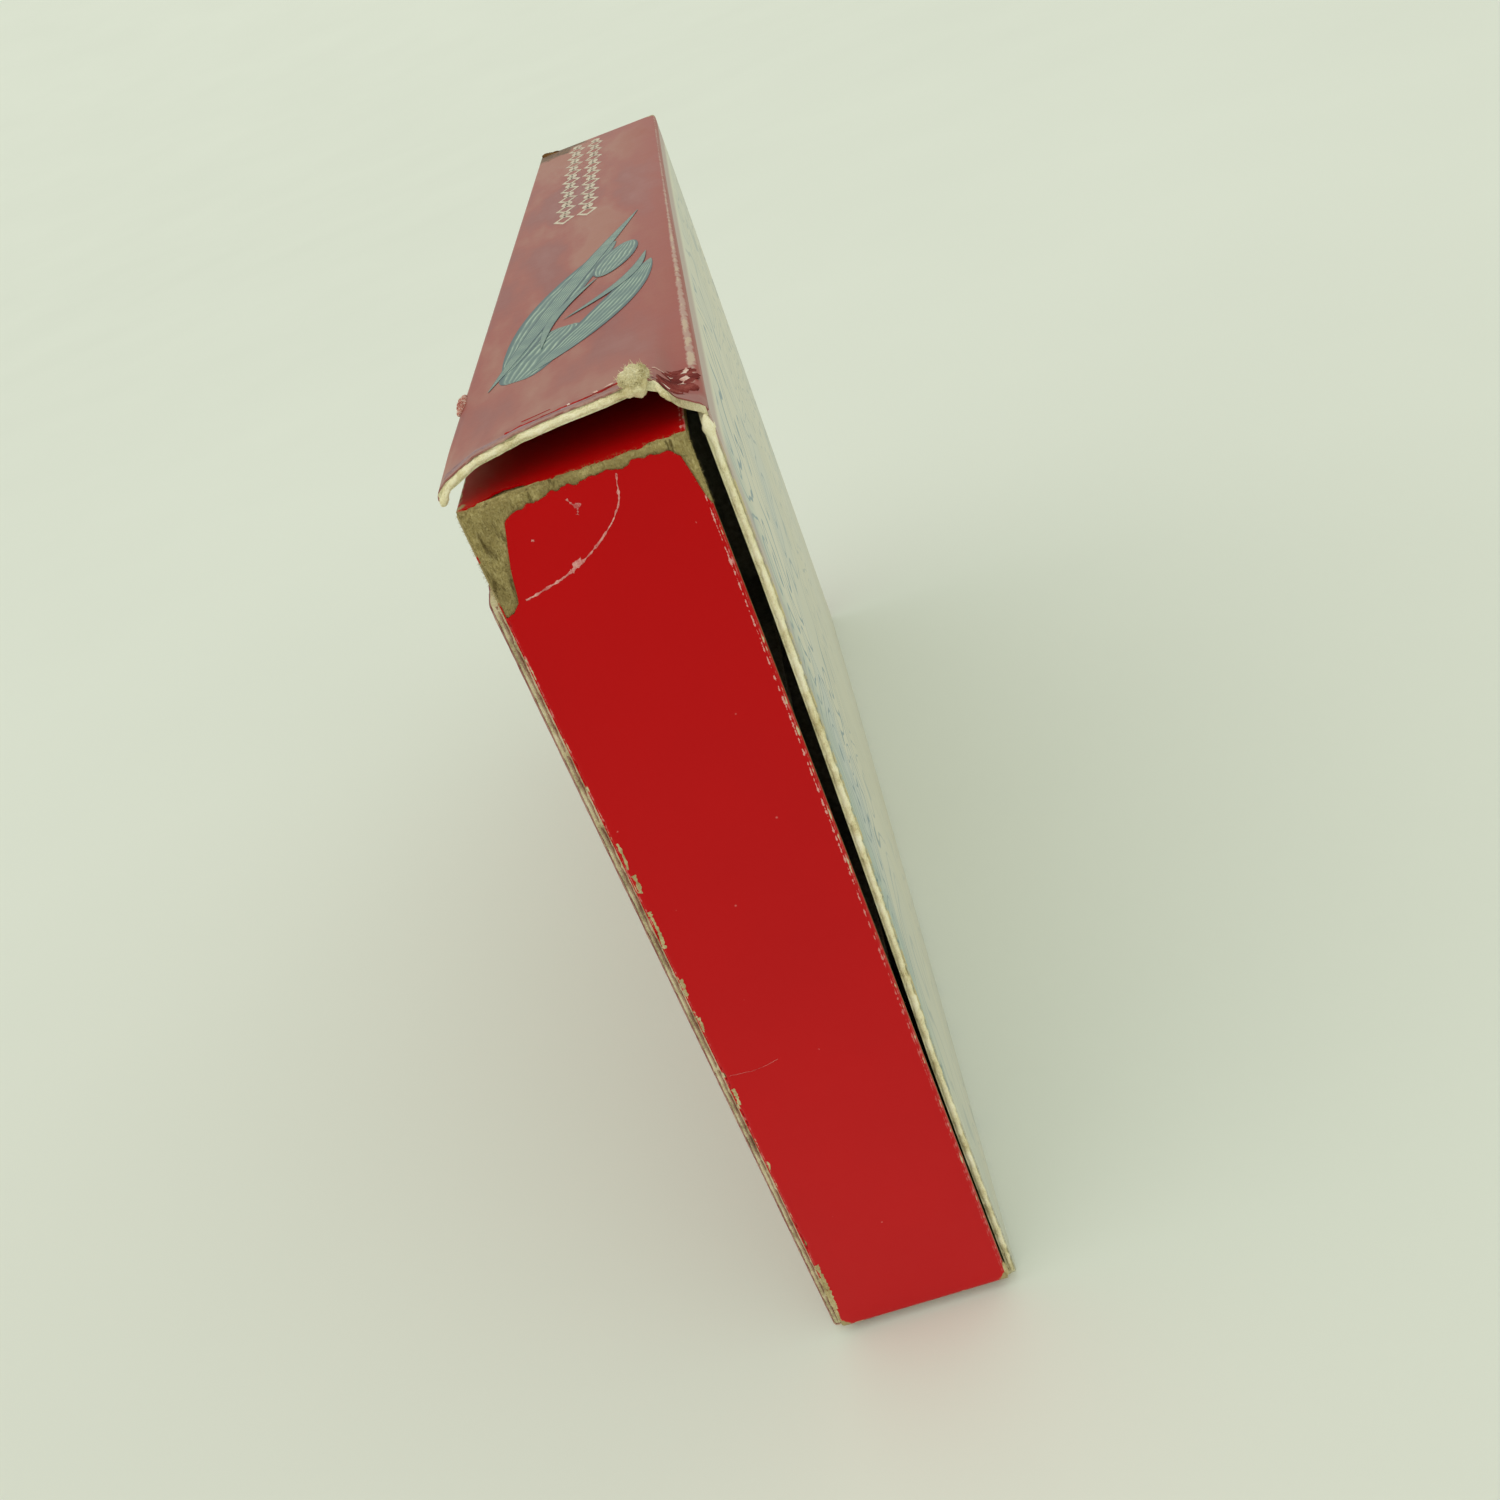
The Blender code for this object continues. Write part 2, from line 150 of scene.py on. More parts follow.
for name, direction, spread, power, colour in (
        ("key_softbox", (0.75, 0.55, -1.1), 70, 0.44, "FFFAF0"),
        ("fill_softbox", (-0.5, 1.0, -0.6), 80, 0.32, "F6FAFF")):
    lamp = bpy.data.objects.new(name, bpy.data.lights.new(name, "SUN"))
    lamp.data.angle = math.radians(spread)
    lamp.data.energy = power
    lamp.data.color = hex_colour(colour)[:3]
    lamp.rotation_euler = Vector(direction).to_track_quat("-Z", "Y").to_euler()
    bpy.context.scene.collection.objects.link(lamp)


# ---------------------------------------------------------------------------------------------------
# Sleeve chipboard: five walls of grey-cream chipboard, cut by a knife and glued. It is pulped waste
# paper, so torn edges are soft, pale and hairy, and old ones split into plies.
# ---------------------------------------------------------------------------------------------------

PAPER = 0.3 * MM
LIFT = 5.0 * MM
SPLIT = 62.0 * MM
cover_low, cover_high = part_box("left_cover_sheet")
MOUTH_Y = cover_low.y
BACK_Y = cover_high.y
LEFT_X = cover_low.x
BOW = 1.6 * MM
RIGHT_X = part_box("right_cover_sheet")[1].x - BOW
TOP_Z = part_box("closed_end_sheet")[1].z + 0.4 * MM
WALL = 1.9 * MM
GLUE = 0.05 * MM


def hills(points, size, seed, octaves=1):
    """Smooth random heights from about -1 to 1 at each point, for hills of that size in metres."""
    flat = np.asarray(points, float).reshape(-1, 3) / size
    offset = Vector((seed * 17.3, seed * 5.1, seed * 9.7))
    if octaves == 1:
        made = [noise.noise(Vector(p) + offset) for p in flat]
    else:
        made = [noise.fractal(Vector(p) + offset, 1.0, 2.0, octaves) for p in flat]
    return np.array(made).reshape(np.asarray(points).shape[:-1])


def ease(values, start, end):
    """0 before start, 1 after end, and smooth between them."""
    t = np.clip((np.asarray(values, float) - start) / (end - start), 0.0, 1.0)
    return t * t * (3 - 2 * t)


def spine_rise(x, depth):
    """How far the spine stands over its flat place: it is free at the split fold and arched at the mouth."""
    across = np.clip((x - LEFT_X) / (RIGHT_X - LEFT_X), 0.0, 1.0)
    arch = np.interp(across, [0.0, 0.05, 0.18, 0.36, 0.53, 0.70, 0.845, 0.885, 0.925, 0.965, 1.0],
                     [-0.16, 0.16, 0.60, 0.84, 0.94, 0.98, 1.08, 0.85, 0.15, -0.22, -0.45])
    inward = np.clip(1 - depth / SPLIT, 0.0, 1.0)
    corner = np.clip(1 - depth / (22 * MM), 0.0, 1.0) ** 1.3
    steep = np.where(arch > 0, inward ** 1.6, corner)
    crease = 0.35 * MM * np.exp(-((depth - 5.5 * MM) / (1.3 * MM)) ** 2) * ease(across, 0.1, 0.3)
    return LIFT * arch * steep - crease


def cover_bow(z, depth):
    """How far the slack right cover stands out."""
    height = np.clip(z / TOP_Z, 0.0, 1.0)
    swell = np.interp(height, [0.0, 0.2, 0.31, 0.42, 0.52, 0.69, 0.85, 1.0],
                      [-0.72, -0.72, -0.52, 0.05, 0.5, 1.15, 1.55, 1.45]) * MM
    return swell * np.clip(1 - depth / (0.8 * 0.355), 0.0, 1.0) ** 1.5


def bend_wall(points):
    """Moves flat places of the sleeve to where the worn sleeve has them."""
    points = np.array(points, float)
    x, y, z = points[..., 0].copy(), points[..., 1], points[..., 2].copy()
    depth = y - MOUTH_Y
    top = ease(z, TOP_Z - 3.0 * MM, TOP_Z - 1.2 * MM)
    side = ease(x, RIGHT_X - 3.0 * MM, RIGHT_X - 1.2 * MM)
    points[..., 2] += spine_rise(x, depth) * top
    points[..., 0] += cover_bow(z, depth) * side
    return points


def at(x, y, z):
    """Points from three coordinates, each an array or one number for them all."""
    return np.stack(np.broadcast_arrays(x, y, z), -1)


def plate(name, outer, inner, finish, body, stands_for=(), smooth_angle=50):
    """A closed sheet between two grids of points, with its rows and columns as its UV map."""
    rows, columns, _ = outer.shape
    count = rows * columns
    grid = np.arange(count).reshape(rows, columns)
    quads = np.stack([grid[:-1, :-1], grid[1:, :-1], grid[1:, 1:], grid[:-1, 1:]], -1).reshape(-1, 4)
    rim = np.concatenate([grid[0, :-1], grid[:-1, -1], grid[-1, :0:-1], grid[:0:-1, 0]])
    after = np.roll(rim, -1)
    sides = np.stack([rim, rim + count, after + count, after], -1)
    faces = np.concatenate([quads, quads[:, ::-1] + count, sides])
    middle = (rows // 2, columns // 2)
    step = np.cross(outer[middle[0], middle[1]] - outer[middle[0] - 1, middle[1]],
                    outer[middle[0], middle[1]] - outer[middle[0], middle[1] - 1])
    if step @ (outer[middle] - inner[middle]) < 0:
        faces = faces[:, ::-1]
    mesh = bpy.data.meshes.new(name)
    mesh.from_pydata(np.concatenate([outer.reshape(-1, 3), inner.reshape(-1, 3)]).tolist(), [], faces.tolist())
    across, along = np.meshgrid(np.linspace(0, 1, columns), np.linspace(0, 1, rows))
    sheet = np.tile(np.stack([along.ravel(), across.ravel()], -1), (2, 1))
    corners = np.empty(len(mesh.loops), int)
    mesh.loops.foreach_get("vertex_index", corners)
    mesh.uv_layers.new(name="UVMap").data.foreach_set("uv", sheet[corners].ravel())
    return finished(mesh, finish, body, stands_for, smooth_angle)


def finished(mesh, finish, body, stands_for=(), smooth_angle=60):
    """An object from a mesh, smooth but for sharp folds, on its body and in place of its parts of the frame."""
    mesh.shade_smooth()
    mesh.set_sharp_from_angle(angle=math.radians(smooth_angle))
    mesh.materials.append(finish)
    piece = bpy.data.objects.new(mesh.name, mesh)
    bpy.context.scene.collection.objects.link(piece)
    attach(piece, body)
    if stands_for:
        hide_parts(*stands_for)
    return piece


def dress(finish, *nodes):
    """Gives parts of the frame their finish."""
    for node in nodes:
        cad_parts[node].data.materials.clear()
        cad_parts[node].data.materials.append(finish)


def lay_over(tree, colour, *layers):
    """Lays tones over a colour one after another, each by its own mask."""
    for mask, tone in layers:
        colour = add(tree, "Mix", mask, colour, tone, data_type="RGBA")
    return colour


def pulp_finish(name, pale, mid, dark, fibre_mm, pit_shade=0.5, clouds=1.0, relief=0.3):
    """Torn chipboard: matt pulp with short fibres lying every way, and painted shade darkening the hollows
    between the plies.
    """
    finish, tree, shader, place = new_finish(name)
    stretched = add(tree, "Mapping", place, Scale=(1.0, 2.5, 0.6))
    fibre = add(tree, "TexNoise", stretched, Scale=1 / (fibre_mm * MM), Detail=5.0, Roughness=0.7,
                Distortion=1.2)
    cloud = add(tree, "TexNoise", place, Scale=260.0, Detail=3.0)
    cloudy = add(tree, "Math MULTIPLY_ADD", cloud, clouds, 0.5 - 0.5 * clouds)
    mixed = add(tree, "Math ADD", fibre, cloudy)
    half = add(tree, "Math MULTIPLY", mixed, 0.5)
    # The dark stop falls where the fibre noise is low, which is also where the bump dips: painted shade in the
    # hollows, over the pulp's own random tone.
    tint = add(tree, "ValToRGB", half, stops=((0.5 - 0.22 * pit_shade, dark), (0.5, mid), (0.62, pale)))
    feed(shader, Base_Color=tint)
    bump = add(tree, "Bump", Height=half, Strength=0.6, Distance=relief * MM)
    feed(shader, Normal=bump)
    feed(shader, Roughness=0.95)
    feed(shader, Specular_IOR_Level=0.15)
    return finish


# The sleeve's cream board shows only where it is cut or torn, as soft, short-fibred pulp.
cream_pulp = pulp_finish("cream_chipboard_pulp", "E9E3C4", "D6CDA4", "9A8F68", 0.35, pit_shade=0.6)

spine_columns = np.linspace(LEFT_X + 0.35 * MM, RIGHT_X - 0.35 * MM, 96)
rows = np.linspace(0.0, 1.0, 60) ** 2.2
spine_start = 0.45 * MM + 0.35 * MM * hills(at(spine_columns, 0, 0), 1.6 * MM, 1, 3)
spine_start += 2.2 * MM * np.exp(-((spine_columns - RIGHT_X + 3.2 * MM) / (1.6 * MM)) ** 2)
length = BACK_Y - MOUTH_Y
depth = spine_start[None, :] + (length - 2 * MM - spine_start[None, :]) * rows[:, None]
upper = bend_wall(at(spine_columns, MOUTH_Y + depth, TOP_Z))
plate("spine_chipboard", upper - (0, 0, PAPER + GLUE), upper - (0, 0, WALL), cream_pulp, "sleeve",
      ["spine_board"])


def side_board(name, x_outside, inward, top_at, stands_for):
    """A cover's chipboard: top_at gives its upper edge along its depth, and the mouth edge is worn."""
    steps = np.linspace(0.0, 1.0, 150)
    bottom = 0.4 * MM
    starts = 0.35 * MM + 0.3 * MM * hills(at(0, 0, steps * TOP_Z), 2.0 * MM, 3, 3)
    run = starts[None, :] + (length - 2 * MM - starts[None, :]) * rows[:, None]
    outside = bend_wall(at(x_outside, MOUTH_Y + run, bottom + (top_at(run) - bottom) * steps[None, :]))
    outside[..., 0] += inward * (PAPER + GLUE)
    inside = outside + (inward * (WALL - PAPER - GLUE), 0, 0)
    plate(name, outside, inside, cream_pulp, "sleeve", [stands_for])


def torn_top(run):
    """The left cover's torn upper edge, falling towards the mouth."""
    missing = 21 * MM * np.clip(1 - run / SPLIT, 0.0, 1.0) ** 0.8
    wobble = hills(at(run, 0, 0), 3.5 * MM, 5, 3) * ease(missing, 0.0, 3 * MM)
    return TOP_Z - 0.4 * MM - missing + 1.1 * MM * wobble


def worn_top(run):
    """The right cover's upper edge, crushed at the mouth."""
    return TOP_Z - WALL + 0.2 * MM - 3.2 * MM * np.clip(1 - run / (12 * MM), 0.0, 1.0) ** 1.5


side_board("left_cover_chipboard", LEFT_X, 1, torn_top, "left_cover_board")
side_board("right_cover_chipboard", RIGHT_X, -1, worn_top, "right_cover_board")
dress(cream_pulp, "lower_wall_board", "closed_end_board")


# ---------------------------------------------------------------------------------------------------
# Printed sheet: coated litho paper glued round the sleeve in one piece. The spine and left cover are
# printed a brick red that has gone dusty and streaky, and the right cover is left a pale cream.
# ---------------------------------------------------------------------------------------------------

def box_edge_distance(tree, place, low, high):
    """On the surface of a box, how far a point is from the nearest edge of the box."""
    parts = add(tree, "SeparateXYZ", place)
    gaps = []
    for axis in range(3):
        middle = (low[axis] + high[axis]) / 2
        offset = add(tree, "Math SUBTRACT", parts.outputs[axis], middle)
        away = add(tree, "Math ABSOLUTE", offset)
        gaps.append(add(tree, "Math SUBTRACT", (high[axis] - low[axis]) / 2, away))
    lower = add(tree, "Math MINIMUM", gaps[0], gaps[1])
    higher = add(tree, "Math MAXIMUM", gaps[0], gaps[1])
    inner = add(tree, "Math MINIMUM", higher, gaps[2])
    return add(tree, "Math MAXIMUM", lower, inner)


def worn_mask(tree, place, distance, width, patchy, size_mm):
    """1 where paper is rubbed through near an edge, broken up by noise; 0 away from it."""
    breaks = add(tree, "TexNoise", place, Scale=1 / (size_mm * MM), Detail=6.0, Roughness=0.65)
    shifted = add(tree, "Math MULTIPLY_ADD", breaks, patchy, distance)
    return add(tree, "MapRange", shifted, 0.5 * patchy + width, 0.5 * patchy + 0.4 * width)


def corner_patch(tree, place, corner, radius, seed_scale=180.0):
    """1 inside a ragged patch round a corner."""
    near = add(tree, "VectorMath DISTANCE", place, corner)
    breaks = add(tree, "TexNoise", place, Scale=seed_scale, Detail=5.0)
    rough = add(tree, "Math MULTIPLY_ADD", breaks, radius * 1.2, near)
    return add(tree, "MapRange", rough, radius * 1.6, radius * 1.45)


sleeve_low = Vector((LEFT_X, MOUTH_Y, 0.0))
sleeve_high = Vector((RIGHT_X, BACK_Y, TOP_Z))


def printed_red(name, dark, middle, pale):
    """Dusty brick-red litho print with diagonal cloudy streaks, rubbed pale along the folds."""
    finish, tree, shader, place = new_finish(name)
    tilt = add(tree, "Mapping", place, Rotation=(0.0, 0.0, 0.9), Scale=(62.0, 15.0, 40.0))
    streak = add(tree, "TexNoise", tilt, Scale=1.0, Detail=4.0, Roughness=0.55)
    colour = add(tree, "ValToRGB", streak, stops=((0.40, dark), (0.5, middle), (0.60, pale)))
    parts = add(tree, "SeparateXYZ", place)
    richer = add(tree, "MapRange", parts.outputs[0], 4 * MM, 22 * MM, 0.0, 0.85)
    haze = add(tree, "MapRange", parts.outputs[1], MOUTH_Y + 10 * MM, MOUTH_Y + 2 * MM, 0.0, 0.45)
    grain = add(tree, "ValToRGB", add(tree, "TexNoise", place, Scale=2600.0, Detail=2.0))
    colour = add(tree, "Mix", 0.10, lay_over(tree, colour, (richer, "9A3428"), (haze, "94706C")), grain,
                 data_type="RGBA", blend_type="OVERLAY")
    edge = box_edge_distance(tree, place, sleeve_low, sleeve_high)
    bare = add(tree, "Math MULTIPLY", worn_mask(tree, place, edge, 0.12 * MM, 2.2 * MM, 5.0), 0.35)
    furred = add(tree, "TexNoise", place, Scale=1100.0, Detail=4.0)
    soiled = [(corner_patch(tree, place, corner, radius * MM),
               add(tree, "ValToRGB", furred, stops=((0.36, dark_tone), (0.64, pale_tone))))
              for corner, radius, dark_tone, pale_tone in (
                  ((LEFT_X, BACK_Y, TOP_Z), 18, "45280F", "85582E"),
                  ((RIGHT_X, BACK_Y, TOP_Z), 3, "96825A", "CDBB92"),
                  ((LEFT_X, BACK_Y, 0.0), 5, "705C3A", "A48F68"),
                  ((RIGHT_X, BACK_Y, 0.0), 4, "86754B", "BBAB7E"))]
    rubbed = worn_mask(tree, place, edge, 0.5 * MM, 1.6 * MM, 2.4)
    colour = lay_over(tree, colour, (rubbed, "B58C7F"), (bare, "D9CDA6"), *soiled)
    dents = add(tree, "TexNoise", place, Scale=90.0, Detail=6.0)
    feed(shader, Base_Color=colour, Roughness=add(tree, "MapRange", streak, 0.3, 0.7, 0.34, 0.5),
         Specular_IOR_Level=0.3, Normal=add(tree, "Bump", Height=dents, Strength=0.25, Distance=0.5 * MM))
    return finish, tree, shader, place, colour


red_print = printed_red("brick_red_litho_paper", "8C332C", "9C473B", "A66A5B")[0]
# The left cover's sheet is one red with less streaking; its frame lines and lozenges in cream ink have scuffed.
cover_print, tree, shader, place, colour = printed_red("brick_red_cover_print", "8E3D35", "944138", "9A4A3F")
parts = add(tree, "SeparateXYZ", place)
edge = box_edge_distance(tree, place, sleeve_low, sleeve_high)
lines = []
for inset, width in ((11.0, 1.2), (14.0, 0.5)):
    near = add(tree, "Math ABSOLUTE", add(tree, "Math SUBTRACT", edge, inset * MM))
    lines.append(add(tree, "Math LESS_THAN", near, width / 2 * MM))
spans = []
for axis, middle, reach in ((1, (MOUTH_Y + BACK_Y) / 2, 96 * MM), (2, TOP_Z / 2, 62 * MM)):
    away = add(tree, "Math ABSOLUTE", add(tree, "Math SUBTRACT", parts.outputs[axis], middle))
    spans.append(add(tree, "Math DIVIDE", away, reach))
lozenge = add(tree, "Math ADD", *spans)
stripe = add(tree, "Math GREATER_THAN", add(tree, "Math PINGPONG", lozenge, 0.11), 0.085)
lines.append(add(tree, "Math MULTIPLY", add(tree, "Math LESS_THAN", lozenge, 1.0), stripe))
for line in lines:
    kept = add(tree, "MapRange", add(tree, "TexNoise", place, Scale=420.0, Detail=4.0), 0.36, 0.46)
    colour = lay_over(tree, colour, (add(tree, "Math MULTIPLY", line, kept), "CDBFA2"))
feed(shader, Base_Color=colour)


def printed_cream(name):
    """Pale cream print with blue-grey contour lines, a generic map pattern, yellowed at the folds."""
    finish, tree, shader, place = new_finish(name)
    paper = lay_over(tree, "CCC7AE", (add(tree, "TexNoise", place, Scale=14.0, Detail=5.0), "DAD7C6"))
    swirl = add(tree, "Mapping", place, Scale=(1.0, 9.0, 16.0))
    height = add(tree, "TexNoise", swirl, Scale=1.0, Detail=2.5, Distortion=0.4)
    step = add(tree, "Math FRACT", add(tree, "Math MULTIPLY", height, 24.0))
    near = add(tree, "Math ABSOLUTE", add(tree, "Math SUBTRACT", step, 0.5))
    x, y, z = add(tree, "SeparateXYZ", place).outputs
    border = add(tree, "Math MULTIPLY", add(tree, "MapRange", z, TOP_Z - 12 * MM, TOP_Z - 15 * MM),
                 add(tree, "MapRange", z, 50 * MM, 85 * MM, 0.25, 1.0))
    shown = add(tree, "Math MULTIPLY", add(tree, "Math GREATER_THAN", x, RIGHT_X - 1.5 * MM),
                add(tree, "MapRange", y, MOUTH_Y + 60 * MM, MOUTH_Y + 190 * MM, 1.0, 0.4))
    picture = add(tree, "Math MULTIPLY", border, shown)
    washes = add(tree, "MapRange", height, 0.46, 0.60, 0.0, 0.55)
    line = add(tree, "MapRange", near, 0.11, 0.06)
    near_mouth = add(tree, "MapRange", y, MOUTH_Y + 34 * MM, MOUTH_Y + 3 * MM, 0.0, 0.8)
    strokes = add(tree, "ValToRGB", step, stops=((0.1, "8CA3A0"), (0.45, "9FB0A6"),
                                                     (0.55, "6F8C90"), (0.75, "A9B7AA")))
    bled = add(tree, "Math MULTIPLY", add(tree, "MapRange", z, TOP_Z - 75 * MM, TOP_Z - 25 * MM),
               add(tree, "MapRange", y, MOUTH_Y + 16 * MM, MOUTH_Y + 5 * MM, 0.0, 0.8))
    edge = box_edge_distance(tree, place, sleeve_low, sleeve_high)
    colour = lay_over(tree, paper, (add(tree, "Math MULTIPLY", washes, picture), "A9B8BC"),
                      (add(tree, "Math MULTIPLY", line, picture), "6F8893"),
                      (add(tree, "Math MULTIPLY", near_mouth, picture), strokes), (bled, "B8A398"),
                      (worn_mask(tree, place, edge, 0.5 * MM, 1.8 * MM, 3.0), "C6B98C"),
                      (add(tree, "MapRange", z, TOP_Z - 11 * MM, TOP_Z - 8 * MM), "B39A90"))
    dents = add(tree, "TexNoise", place, Scale=60.0, Detail=6.0)
    feed(shader, Base_Color=colour, Roughness=0.42,
         Normal=add(tree, "Bump", Height=dents, Strength=0.2, Distance=0.5 * MM))
    return finish


cream_print = printed_cream("cream_litho_paper")


def folded_path(corners, radius, step):
    """Points along straight runs joined by round folds, in the x-z plane, with their outward normals."""
    corners = [Vector(c) for c in corners]
    points, normals = [], []
    for i in range(len(corners) - 1):
        here, there = corners[i], corners[i + 1]
        along = (there - here).normalized()
        outward = Vector((-along.y, along.x))
        start = here + (along * radius if i > 0 else Vector((0, 0)))
        end = there - (along * radius if i < len(corners) - 2 else Vector((0, 0)))
        count = max(2, round((end - start).length / step))
        for k in range(count + 1):
            points.append(start.lerp(end, k / count))
            normals.append(outward)
        if i < len(corners) - 2:
            onward = (corners[i + 2] - there).normalized()
            centre = end - outward * radius
            turned = Vector((-onward.y, onward.x))
            for k in range(1, 5):
                normal = outward.lerp(turned, k / 5).normalized()
                points.append(centre + normal * radius)
                normals.append(normal)
    return np.array(points), np.array(normals)


def wrap_panel(name, corners, step, start_at, finish, stands_for, radius=1.1 * MM):
    """A panel of the printed sheet along a folded outline, from a torn start at the mouth to the closed end."""
    path, normals = folded_path(corners, radius, step)
    starts = start_at(path)
    run = starts[None, :] + (length - starts)[None, :] * rows[:, None]
    outer = bend_wall(at(path[:, 0], MOUTH_Y + run, path[:, 1]))
    inner = outer - at(normals[:, 0], 0, normals[:, 1]) * PAPER
    plate(name, outer, inner, finish, "sleeve", [stands_for])


def spine_paper_start(path):
    """The spine paper's torn mouth edge, set back where the corner is crushed."""
    start = 0.5 * MM + 0.4 * MM * hills(at(path[:, 0], 0, path[:, 1]), 1.3 * MM, 11, 4)
    start += 3.0 * MM * np.exp(-((path[:, 0] - RIGHT_X + 4.0 * MM) / (1.8 * MM)) ** 2)
    return np.maximum(start, 0.05 * MM)


def plain_paper_start(path):
    """A cover paper's mouth edge, worn back a little."""
    return np.maximum(0.35 * MM + 0.35 * MM * hills(at(path[:, 0], 0, path[:, 1]), 2.6 * MM, 12, 3), 0.05 * MM)


JOIN = 3.0 * MM
wrap_panel("spine_print", [(LEFT_X, TOP_Z - 1.2 * MM), (LEFT_X, TOP_Z), (RIGHT_X, TOP_Z),
                           (RIGHT_X, TOP_Z - JOIN)], 0.4 * MM, spine_paper_start, red_print, "spine_sheet")
wrap_panel("right_cover_print", [(RIGHT_X, TOP_Z - JOIN), (RIGHT_X, 0.0), (RIGHT_X - JOIN, 0.0)],
           1.6 * MM, plain_paper_start, cream_print, "right_cover_sheet")
wrap_panel("lower_wall_print", [(RIGHT_X - JOIN, 0.0), (LEFT_X, 0.0), (LEFT_X, JOIN)],
           1.2 * MM, plain_paper_start, red_print, "lower_wall_sheet")

z_rows = np.linspace(0.0, 1.0, 170)
starts = plain_paper_start(np.stack([z_rows * 0 + LEFT_X, z_rows * TOP_Z], -1))
run = starts[None, :] + (length - starts[None, :]) * rows[:, None]
left_top = np.minimum(torn_top(run) - 0.3 * MM * (torn_top(run) < TOP_Z - 2 * MM), TOP_Z - 1.2 * MM)
outer = at(LEFT_X, MOUTH_Y + run, JOIN + (left_top - JOIN) * z_rows[None, :])
plate("left_cover_print", outer, outer + (PAPER, 0, 0), cover_print, "sleeve",
      ["left_cover_sheet"])
dress(cover_print, "closed_end_sheet")


# ---------------------------------------------------------------------------------------------------
# Frayed edges: where the sleeve's board is cut or torn its plies have opened into soft cream lumps, and
# single paper fibres stand out of them.
# ---------------------------------------------------------------------------------------------------

def lumpy_roll(name, path, radius, finish, body, seed, squash=(1.0, 1.0)):
    """A closed lumpy roll of pulp along a path; squash flattens it across and upwards."""
    around = 18
    path = np.asarray(path, float)
    along = np.gradient(path, axis=0)
    along /= np.linalg.norm(along, axis=1)[:, None]
    straight = np.abs(path[-1] - path[0])
    inward = straight[1] > 5 * max(straight[0], straight[2])
    side = np.cross(along, (0.0, 0.0, 1.0) if inward else (0.0, 1.0, 0.0))
    side /= np.linalg.norm(side, axis=1)[:, None]
    lift = np.cross(side, along)
    turns = np.linspace(0, 2 * math.pi, around, endpoint=False)
    spokes = (np.cos(turns)[None, :, None] * side[:, None] * squash[0]
              + np.sin(turns)[None, :, None] * lift[:, None] * squash[1])
    taper = np.sqrt(np.clip(1 - np.abs(np.linspace(-1, 1, len(path))) ** 24, 0.02, 1))
    skin = path[:, None] + spokes * (radius * taper)[:, None, None]
    lumps = 0.38 * hills(skin, 1.6 * MM, seed, 2) + 0.12 * hills(skin, 0.5 * MM, seed + 1, 2)
    skin += spokes * (radius * taper)[:, None, None] * lumps[..., None]
    count = len(path)
    grid = np.arange(count * around).reshape(count, around)
    ahead = np.roll(grid, -1, axis=1)
    quads = np.stack([grid[:-1], ahead[:-1], ahead[1:], grid[1:]], -1).reshape(-1, 4).tolist()
    mesh = bpy.data.meshes.new(name)
    mesh.from_pydata(skin.reshape(-1, 3).tolist(), [], quads + [grid[0][::-1].tolist(), grid[-1].tolist()])
    return finished(mesh, finish, body)


def new_tree(name, result, **sizes):
    """A tree of geometry nodes with a named input for each of its sizes, mesh and finish."""
    tree = bpy.data.node_groups.new(name, "GeometryNodeTree")
    for size, value in sizes.items():
        kind = value if isinstance(value, str) else type(value).__name__.title()
        made = tree.interface.new_socket(size.replace("_", " "), in_out="INPUT",
                                         socket_type="NodeSocket" + kind)
        if not isinstance(value, str):
            made.default_value = value
    tree.interface.new_socket(result, in_out="OUTPUT", socket_type="NodeSocketGeometry")
    return tree, add(tree, "NodeGroupInput").outputs


def close_tree(tree, instances, finish):
    """Makes a tree's instances real, gives them their finish, and hands them out."""
    real = add(tree, "GeometryNodeRealizeInstances", instances)
    add(tree, "NodeGroupOutput", add(tree, "GeometryNodeSetMaterial", Geometry=real, Material=finish))
    return tree


